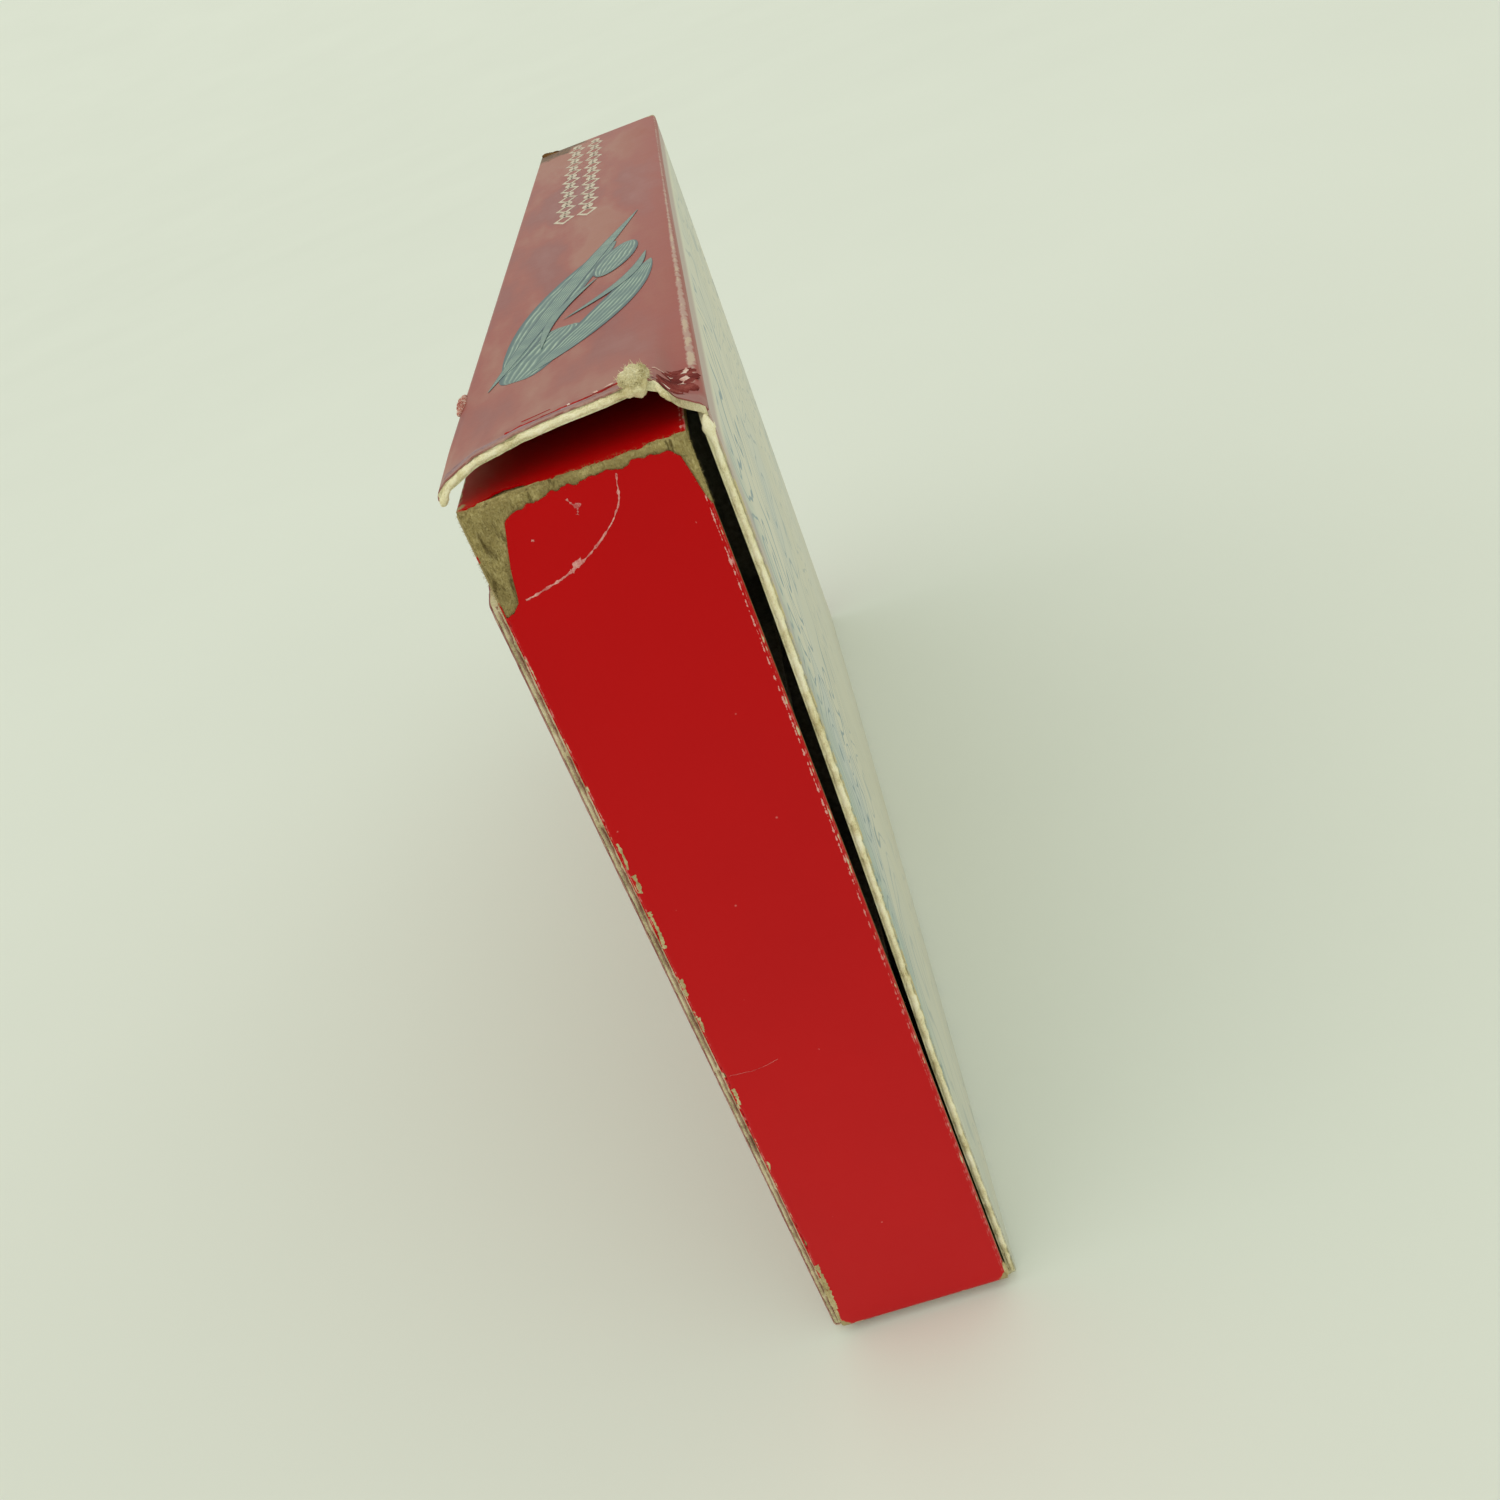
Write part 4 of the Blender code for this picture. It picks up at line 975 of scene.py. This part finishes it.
def scuff(name, places, half_width, finish, seed, lift=0.03, ragged=0.7):
    """A thin ragged ribbon of scraped paper on the tray's front, through (from left, from top) millimetres."""
    t, line = strip_line(places, 0.25, 24)
    line = np.stack([np.convolve(np.pad(line[:, i], 8, "edge"), np.ones(17) / 17, "valid")
                     for i in range(2)], -1)
    flat = ragged_strip(t, line, half_width, seed, 0.10, 1.0, 2.2 * ragged, 0.8, 0.12, 4)
    points = at(TRAY_LEFT + flat[..., 0] * MM, FRONT_Y - lift * MM, TRAY_TOP - flat[..., 1] * MM)
    points[..., 1] -= 0.05 * MM * np.array((0.0, 1.0, 0.6, 0.0))
    plate(name, points, points + (0, 0.05 * MM, 0), finish, "tray")


# Scrapes go through the red coat to the paper's pink-white core; along the edges they reach the board.
scraped = pulp_finish("scraped_paper_core", "E9C3B6", "D9908A", "B4393A", 0.25, pit_shade=0.6)
bare_patch = pulp_finish("bare_board_flake", "CFC195", "B3A273", "8C6F4E", 0.5, pit_shade=0.6)
for name, places, half_width, seed in (
        ("front_crease_scuff", [(26.2, 1.9), (25.6, 4.5), (24.9, 7.2), (22.3, 10.0), (18.9, 12.6), (13.8, 15.2),
                                (8.7, 16.6), (4.1, 17.4)], 0.13, 61),
        ("front_crease_flake", [(15.9, 13.8), (14.6, 14.2), (13.7, 15.2), (13.0, 15.6)], 0.35, 64),
        ("front_scrape_1", [(17.2, 3.4), (17.6, 4.6), (18.4, 5.6)], 0.22, 67),
        ("front_scrape_2", [(18.6, 4.6), (18.4, 5.6), (17.9, 6.8)], 0.26, 70),
        ("front_scrape_3", [(9.4, 8.0), (9.9, 8.3)], 0.16, 73),
        ("front_low_crease", [(0.6, 125.5), (7.0, 126.2), (12.0, 125.0)], 0.022, 76)):
    scuff(name, places, half_width, scraped, seed)
for number, (start, end, off, half_width) in enumerate((
        (66.0, 73.0, 0.8, 0.24), (73.5, 78.5, 1.0, 0.34), (82.0, 92.0, 0.7, 0.30), (99.0, 104.0, 0.6, 0.26),
        (109.0, 113.0, 0.6, 0.22), (128.5, 134.0, 0.7, 0.32), (150.0, 153.0, 0.6, 0.16),
        (183.0, 199.0, 0.6, 0.40)), start=1):
    scuff(f"front_edge_flake_{number}", [(off, start), (off + 0.2, (start + end) / 2), (off - 0.2, end)],
          half_width, bare_patch, 80 + 3 * number, ragged=0.45)
for name, x, y, low, high, count, radius, seed in (
        ("tray_low_corner_fuzz", TRAY_LEFT + 0.25 * MM, 0.5, 2.0, 17.0, 80, 0.55, 151),
        ("tray_low_right_fuzz", TRAY_RIGHT + 0.05 * MM, 0.6, 0.6, 5.0, 40, 0.5, 153)):
    lumpy_roll(name, at(x, FRONT_Y + y * MM, TRAY_BOTTOM + np.linspace(low, high, count) * MM),
               (radius - 0.3 * np.linspace(-1, 1, count) ** 2) * MM, bare_patch, "tray", seed)

bared_part = bpy.data.meshes.new("tray_front_fibres")
bared_part.from_pydata([tuple(v.co) for v in front_board.data.vertices], [],
                       [tuple(p.vertices) for p in front_board.data.polygons
                        if p.center.y < FRONT_Y + 1.6 * MM
                        and p.center.z > np.interp(p.center.x, front_x, top_edge) - 0.2 * MM])
grow("tray_front_fibres", bared_part, fibre_tree("greyboard_fibres", grey_pulp),
     {"Fibres per square metre": 1.6e7, "Length": 0.7 * MM, "Slenderness": 0.07, "Seed": 13}, "tray")


# ---------------------------------------------------------------------------------------------------
# Dividers: strips of grey card, cut and folded, that make the cells and the raised card platform.
# ---------------------------------------------------------------------------------------------------

def plain_card(name, light, dark, edge_tone, low, high, roughness=0.75):
    """Matt card with fine flecks and darker, furred edges."""
    finish, tree, shader, place = new_finish(name)
    fleck = add(tree, "TexNoise", place, Scale=900.0, Detail=5.0, Roughness=0.7)
    card = add(tree, "ValToRGB", fleck, stops=((0.35, dark), (0.62, light)))
    furred = worn_mask(tree, place, box_edge_distance(tree, place, low, high), 0.5 * MM, 1.5 * MM, 2.0)
    feed(shader, Base_Color=lay_over(tree, card, (furred, edge_tone)), Roughness=roughness,
         Normal=add(tree, "Bump", Height=fleck, Strength=0.3, Distance=0.15 * MM))
    return finish


low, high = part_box("cell_divider_across")
# Grey card made from waste paper: quite matt, with pale and dark flecks all through it.
divider_card = plain_card("grey_divider_card", "CFCBBB", "B4AF9C", "DDD8C6", low, high)
dress(divider_card, "cell_divider_across", "cell_divider_1", "cell_divider_2", "platform_top",
      "platform_leg_front", "platform_leg_back")


# ---------------------------------------------------------------------------------------------------
# Playing board: four leaves of board covered in embossed dark paper, hinged with strips of book cloth.
# ---------------------------------------------------------------------------------------------------

low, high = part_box("playing_board_leaf_4")
# Paper embossed like linen: dull green with a fine raised weave, rubbed to the board along its edges.
leaf_cover, tree, shader, place = new_finish("embossed_dark_green_paper")
weave_a = add(tree, "TexWave", place, Scale=700.0, Distortion=2.0, bands_direction="Y")
weave_b = add(tree, "TexWave", place, Scale=700.0, Distortion=2.0, bands_direction="Z")
weave = add(tree, "Math MULTIPLY", weave_a.outputs["Fac"], weave_b.outputs["Fac"])
green = add(tree, "ValToRGB", weave, stops=((0.1, "1F3A33"), (0.8, "34544A")))
rubbed = worn_mask(tree, place, box_edge_distance(tree, place, low, high), 0.6 * MM, 1.6 * MM, 2.0)
feed(shader, Base_Color=lay_over(tree, green, (rubbed, "8B8467")), Roughness=0.6,
     Normal=add(tree, "Bump", Height=weave, Strength=0.5, Distance=0.15 * MM))
dress(leaf_cover, *[f"playing_board_leaf_{number}" for number in range(1, 5)])

# Book cloth: a close black weave, dull, with a painted highlight that makes its threads just paler on their
# crowns.
cloth, tree, shader, place = new_finish("black_book_cloth")
threads = add(tree, "TexWave", place, Scale=1500.0, Distortion=1.0, bands_direction="Z")
black = add(tree, "ValToRGB", threads.outputs["Fac"], stops=((0.2, "15161A"), (0.8, "33353A")))
feed(shader, Base_Color=black, Roughness=0.8)
dress(cloth, "hinge_tape_12", "hinge_tape_23", "hinge_tape_34")


# ---------------------------------------------------------------------------------------------------
# Counter sheets: punched board sheets of small square counters, printed in flat colours and still held
# in their frame by tiny uncut tabs.
# ---------------------------------------------------------------------------------------------------

def counter_tree():
    """Counters with cut corners, standing a hair over their sheet in an even grid."""
    tree, given = new_tree("counter_grid", "Counters", Sheet="Geometry", Side=13.0 * MM, Thickness=0.14 * MM,
                           Print="Material")
    outline = add(tree, "GeometryNodeCurvePrimitiveQuadrilateral", Width=given["Side"], Height=given["Side"])
    cut = add(tree, "GeometryNodeFilletCurve", Curve=outline, Radius=1.0 * MM, Count=3, mode="POLY")
    face = add(tree, "GeometryNodeFillCurve", Curve=cut)
    solid = add(tree, "GeometryNodeExtrudeMesh", Mesh=face, Offset_Scale=given["Thickness"])
    upright = add(tree, "GeometryNodeTransform", Geometry=solid, Rotation=(0.0, math.pi / 2, 0.0))
    placed = add(tree, "GeometryNodeInstanceOnPoints", Points=given["Sheet"], Instance=upright)
    return close_tree(tree, placed, given["Print"])


counters = counter_tree()
COUNTER_PITCH = 14.5 * MM
for number, tones in ((1, ("9A5B3C", "C4A25A", "6D8463")), (2, ("A9483F", "4F6F86", "C9B98C"))):
    low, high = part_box(f"counter_sheet_{number}")
    sheet_card = plain_card(f"counter_sheet_card_{number}", "D9D0B4", "C5BB9C", "A79C7C", low, high, 0.55)
    dress(sheet_card, f"counter_sheet_{number}")
    # Flat printing ink in three tones, drawn by lot for each counter, with a slight gloss.
    counter_print, tree, shader, place = new_finish(f"counter_print_{number}")
    cell = add(tree, "VectorMath SNAP", place, (0.0, COUNTER_PITCH * 2, COUNTER_PITCH * 2))
    drawn = add(tree, "TexWhiteNoise", cell)
    tone = add(tree, "ValToRGB", drawn, stops=((0.15, tones[0]), (0.5, tones[1]), (0.85, tones[2])))
    specks = add(tree, "TexNoise", place, Scale=1500.0, Detail=3.0)
    feed(shader, Base_Color=add(tree, "Mix", 0.12, tone, specks, data_type="RGBA"))
    feed(shader, Roughness=0.45)
    if number == 2:
        spots = [(high.x + 0.01 * MM, low.y + 12 * MM + i * COUNTER_PITCH, low.z + 10 * MM + k * COUNTER_PITCH)
                 for i in range(15) for k in range(12)]
        grid = bpy.data.meshes.new("grid")
        grid.from_pydata(spots, [], [])
        grow(f"counters_{number}", grid, counters, {"Print": counter_print}, "tray")


# ---------------------------------------------------------------------------------------------------
# Rules booklet: folded sheets of soft paper with a cream cover, held by two wire staples on the fold.
# ---------------------------------------------------------------------------------------------------

low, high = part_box("rules_booklet")
# Uncoated paper: soft and dull, with a thin red frame and grey-green rings printed on its cover.
booklet_cover, tree, shader, place = new_finish("soft_booklet_paper")
fibre = add(tree, "TexNoise", place, Scale=700.0, Detail=4.0)
colour = add(tree, "ValToRGB", fibre, stops=((0.35, "D8D0B6"), (0.65, "E6E0CB")))
edge = box_edge_distance(tree, place, low, high)
frame_line = add(tree, "MapRange", edge, 9.0 * MM, 9.2 * MM)
frame_end = add(tree, "MapRange", edge, 10.4 * MM, 10.6 * MM, 1.0, 0.0)
band = add(tree, "Math MULTIPLY", frame_line, frame_end)
colour = add(tree, "Mix", band, colour, "8E3A33", data_type="RGBA")
cover_middle = (high.x, (low.y + high.y) / 2, (low.z + high.z) / 2)
away = add(tree, "VectorMath DISTANCE", place, cover_middle)
ripple = add(tree, "Math PINGPONG", away, 5.0 * MM)
near = add(tree, "Math LESS_THAN", away, 32 * MM)
ring = add(tree, "Math GREATER_THAN", ripple, 3.4 * MM)
colour = add(tree, "Mix", add(tree, "Math MULTIPLY", ring, near), colour, "7C8F86", data_type="RGBA")
feed(shader, Base_Color=colour)
feed(shader, Roughness=0.6)
page_y = np.linspace(low.y, high.y, 40)
page_z = np.linspace(low.z, high.z, 30)
PAGES = 8
pitch = (high.x - low.x) / PAGES
for number in range(PAGES):
    grid_y, grid_z = np.meshgrid(page_y, page_z, indexing="ij")
    trimmed = grid_y - (0.25 * MM * abs(number - 3.5)) * ease(grid_y, high.y - 4 * MM, high.y)
    waves = 0.06 * MM * hills(np.stack([trimmed, trimmed * 0 + number, grid_z], -1), 60 * MM, 81 + number)
    face_x = low.x + (number + 0.86) * pitch + 0.3 * waves
    face = np.stack([face_x, trimmed, grid_z], -1)
    plate(f"booklet_page_{number + 1}", face, face - (0.72 * pitch, 0, 0), booklet_cover, "tray",
          ["rules_booklet"])

# Steel wire, bright where it is bent and starting to brown.
wire, tree, shader, place = new_finish("staple_wire")
tarnish = add(tree, "TexNoise", place, Scale=900.0)
feed(shader, Base_Color=add(tree, "ValToRGB", tarnish, stops=((0.4, "8A8880"), (0.7, "6B5A44"))))
feed(shader, Metallic=1.0)
feed(shader, Roughness=0.35)
dress(wire, "booklet_staple_1", "booklet_staple_2")


# ---------------------------------------------------------------------------------------------------
# Card decks: smooth coated cards with round corners, stacked a little unevenly in their cells.
# ---------------------------------------------------------------------------------------------------

def card_tree():
    """A stack of round-cornered cards, each shifted a little."""
    tree, given = new_tree("card_stack", "Cards", Stack="Geometry", Long_side=88.0 * MM, Short_side=63.0 * MM,
                           Thickness=0.3 * MM, Unevenness=0.25 * MM, Seed=1, Print="Material")
    outline = add(tree, "GeometryNodeCurvePrimitiveQuadrilateral", Width=given["Short side"],
                  Height=given["Long side"])
    cut = add(tree, "GeometryNodeFilletCurve", Curve=outline, Radius=3.0 * MM, Count=5, Limit_Radius=True,
              mode="POLY")
    face = add(tree, "GeometryNodeFillCurve", Curve=cut)
    whole = add(tree, "GeometryNodeJoinGeometry")
    feed(whole, add(tree, "GeometryNodeExtrudeMesh", Mesh=face, Offset_Scale=given["Thickness"]))
    feed(whole, add(tree, "GeometryNodeFlipFaces", face))
    upright = add(tree, "GeometryNodeTransform", Geometry=whole, Rotation=(0.0, math.pi / 2, 0.0))
    least = add(tree, "Math MULTIPLY", given["Unevenness"], -1.0)
    shift = add(tree, "FunctionNodeRandomValue", add(tree, "CombineXYZ", Y=least, Z=least),
                add(tree, "CombineXYZ", Y=given["Unevenness"], Z=given["Unevenness"]), Seed=given["Seed"],
                data_type="FLOAT_VECTOR")
    moved = add(tree, "GeometryNodeSetPosition", Geometry=given["Stack"], Offset=shift)
    placed = add(tree, "GeometryNodeInstanceOnPoints", Points=moved, Instance=upright)
    return close_tree(tree, placed, given["Print"])


card_stack = card_tree()
for number, ink in ((1, "7E2A2C"), (2, "2F5168")):
    low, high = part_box(f"card_deck_{number}")
    # Varnished card: an even, slight gloss over a lattice of fine lines inside a plain border.
    card_print, tree, shader, place = new_finish(f"card_back_print_{number}")
    parts = add(tree, "SeparateXYZ", place)
    edge = box_edge_distance(tree, place, low, high)
    inside = add(tree, "MapRange", edge, 4.6 * MM, 4.8 * MM)
    lattice = add(tree, "Mapping", place, Rotation=(math.pi / 4, 0.0, 0.0))
    waves = [add(tree, "TexWave", lattice, Scale=80.0, bands_direction=axis).outputs["Fac"] for axis in ("Y",
                                                                                                         "Z")]
    crossing = add(tree, "Math MAXIMUM", waves[0], waves[1])
    pattern = add(tree, "ValToRGB", crossing, stops=((0.80, ink), (0.92, "DCD3BC")))
    colour = add(tree, "Mix", inside, "E4DDC9", pattern, data_type="RGBA")
    feed(shader, Base_Color=colour)
    feed(shader, Roughness=0.4)
    cards = 60
    pitch = (high.x - low.x) / cards
    stack = bpy.data.meshes.new("stack")
    middle = (low + high) / 2
    stack.from_pydata([(low.x + k * pitch, middle.y, middle.z) for k in range(cards)], [], [])
    grow(f"deck_of_cards_{number}", stack, card_stack,
         {"Thickness": 0.8 * pitch, "Unevenness": 0.2 * MM, "Short side": (high.z - low.z) - 0.5 * MM,
          "Long side": (high.y - low.y) - 0.5 * MM, "Seed": number, "Print": card_print}, "tray",
         [f"card_deck_{number}"])


# ---------------------------------------------------------------------------------------------------
# Pawns and dice: turned and moulded playing pieces, the pawns painted in six colours and the dice in
# ivory plastic with sunk pips.
# ---------------------------------------------------------------------------------------------------

def gloss(name, tone, roughness, marks=0.08):
    """Smooth coloured plastic or paint with faint cloudiness and hairline scratches."""
    finish, tree, shader, place = new_finish(name)
    cloud = add(tree, "TexNoise", place, Scale=300.0, Detail=4.0)
    feed(shader, Base_Color=add(tree, "Mix", marks, tone, cloud, data_type="RGBA"))
    rough = add(tree, "MapRange", cloud, To_Min=roughness, To_Max=roughness + 0.15)
    feed(shader, Roughness=rough)
    return finish


PAWN_TONES = ("B5262A", "2B5C9B", "2E7B45", "D9B02E", "E8E4D8", "2A2A2C")
for number, tone in enumerate(PAWN_TONES, start=1):
    low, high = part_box(f"pawn_{number}")
    centre = (low + high) / 2
    foot = (high.x - low.x) / 2
    tall = high.z - low.z
    outline = ((0.94, 0.0), (1.0, 0.03), (1.0, 0.09), (0.93, 0.13), (0.80, 0.16), (0.62, 0.24), (0.46, 0.36),
               (0.38, 0.48), (0.35, 0.58), (0.42, 0.61), (0.60, 0.63), (0.60, 0.66), (0.42, 0.68), (0.52, 0.71),
               (0.62, 0.77), (0.645, 0.83), (0.61, 0.90), (0.50, 0.955), (0.30, 0.99))
    turns = np.linspace(0, 2 * math.pi, 40, endpoint=False)
    rings = [[(centre.x + r * foot * math.cos(a), centre.y + r * foot * math.sin(a), low.z + h * tall)
              for a in turns] for r, h in outline]
    mesh = bpy.data.meshes.new(f"turned_pawn_{number}")
    count = len(rings)
    sides = [(i * 40 + k, i * 40 + (k + 1) % 40, (i + 1) * 40 + (k + 1) % 40, (i + 1) * 40 + k)
             for i in range(count - 1) for k in range(40)]
    caps = [tuple(range(39, -1, -1)), tuple((count - 1) * 40 + k for k in range(40))]
    mesh.from_pydata([p for ring in rings for p in ring], [], sides + caps)
    finished(mesh, gloss(f"pawn_paint_{number}", tone, 0.25), "tray", [f"pawn_{number}"])

# Moulded plastic and the paint sunk in it: smooth, the ivory glossy and the black a little duller.
ivory = gloss("ivory_plastic", "E8E0C8", 0.25)
pip_paint = gloss("black_pip_paint", "17171A", 0.4)
PIPS = {1: ((0, 0),), 2: ((-1, -1), (1, 1)), 3: ((-1, -1), (0, 0), (1, 1)),
        4: ((-1, -1), (1, -1), (-1, 1), (1, 1)), 5: ((-1, -1), (1, -1), (-1, 1), (1, 1), (0, 0)),
        6: ((-1, -1), (-1, 0), (-1, 1), (1, -1), (1, 0), (1, 1))}
for number in (1, 2):
    low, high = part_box(f"die_{number}")
    centre = (low + high) / 2
    half = (high.x - low.x) / 2
    steps = np.linspace(-1, 1, 13)
    u, v = np.meshgrid(steps, steps, indexing="ij")
    points, faces = [], []
    pip_points, pip_faces = [], []
    for value, (axis, sign) in enumerate(((0, 1), (1, 1), (2, 1), (2, -1), (1, -1), (0, -1)), start=1):
        flat = np.zeros((13, 13, 3))
        flat[..., axis], flat[..., (axis + 1) % 3], flat[..., (axis + 2) % 3] = sign, u * sign, v
        core = np.clip(flat, -0.78, 0.78)
        away = flat - core
        size = np.linalg.norm(away, axis=-1, keepdims=True)
        flat = core + away / size * 0.22
        start = len(points)
        points += (np.array(centre) + flat.reshape(-1, 3) * half).tolist()
        corners = [start + i * 13 + k for i in range(12) for k in range(12)]
        faces += [(c, c + 13, c + 14, c + 1) for c in corners]
        for across, up in PIPS[value]:
            start = len(pip_points)
            for k in range(16):
                angle = sign * 2 * math.pi * k / 16
                spot = np.zeros(3)
                spot[axis] = sign * 1.003
                spot[(axis + 1) % 3] = 0.45 * across * sign + 0.15 * math.cos(angle) * sign
                spot[(axis + 2) % 3] = 0.45 * up + 0.15 * math.sin(angle) * sign
                pip_points.append((np.array(centre) + spot * half).tolist())
            pip_faces.append(tuple(range(start, start + 16)))
    mesh = bpy.data.meshes.new(f"rounded_die_{number}")
    mesh.from_pydata(points, [], faces)
    finished(mesh, ivory, "tray", [f"die_{number}"], 80)
    mesh = bpy.data.meshes.new(f"die_pips_{number}")
    mesh.from_pydata(pip_points, [], pip_faces)
    finished(mesh, pip_paint, "tray", (), 80)
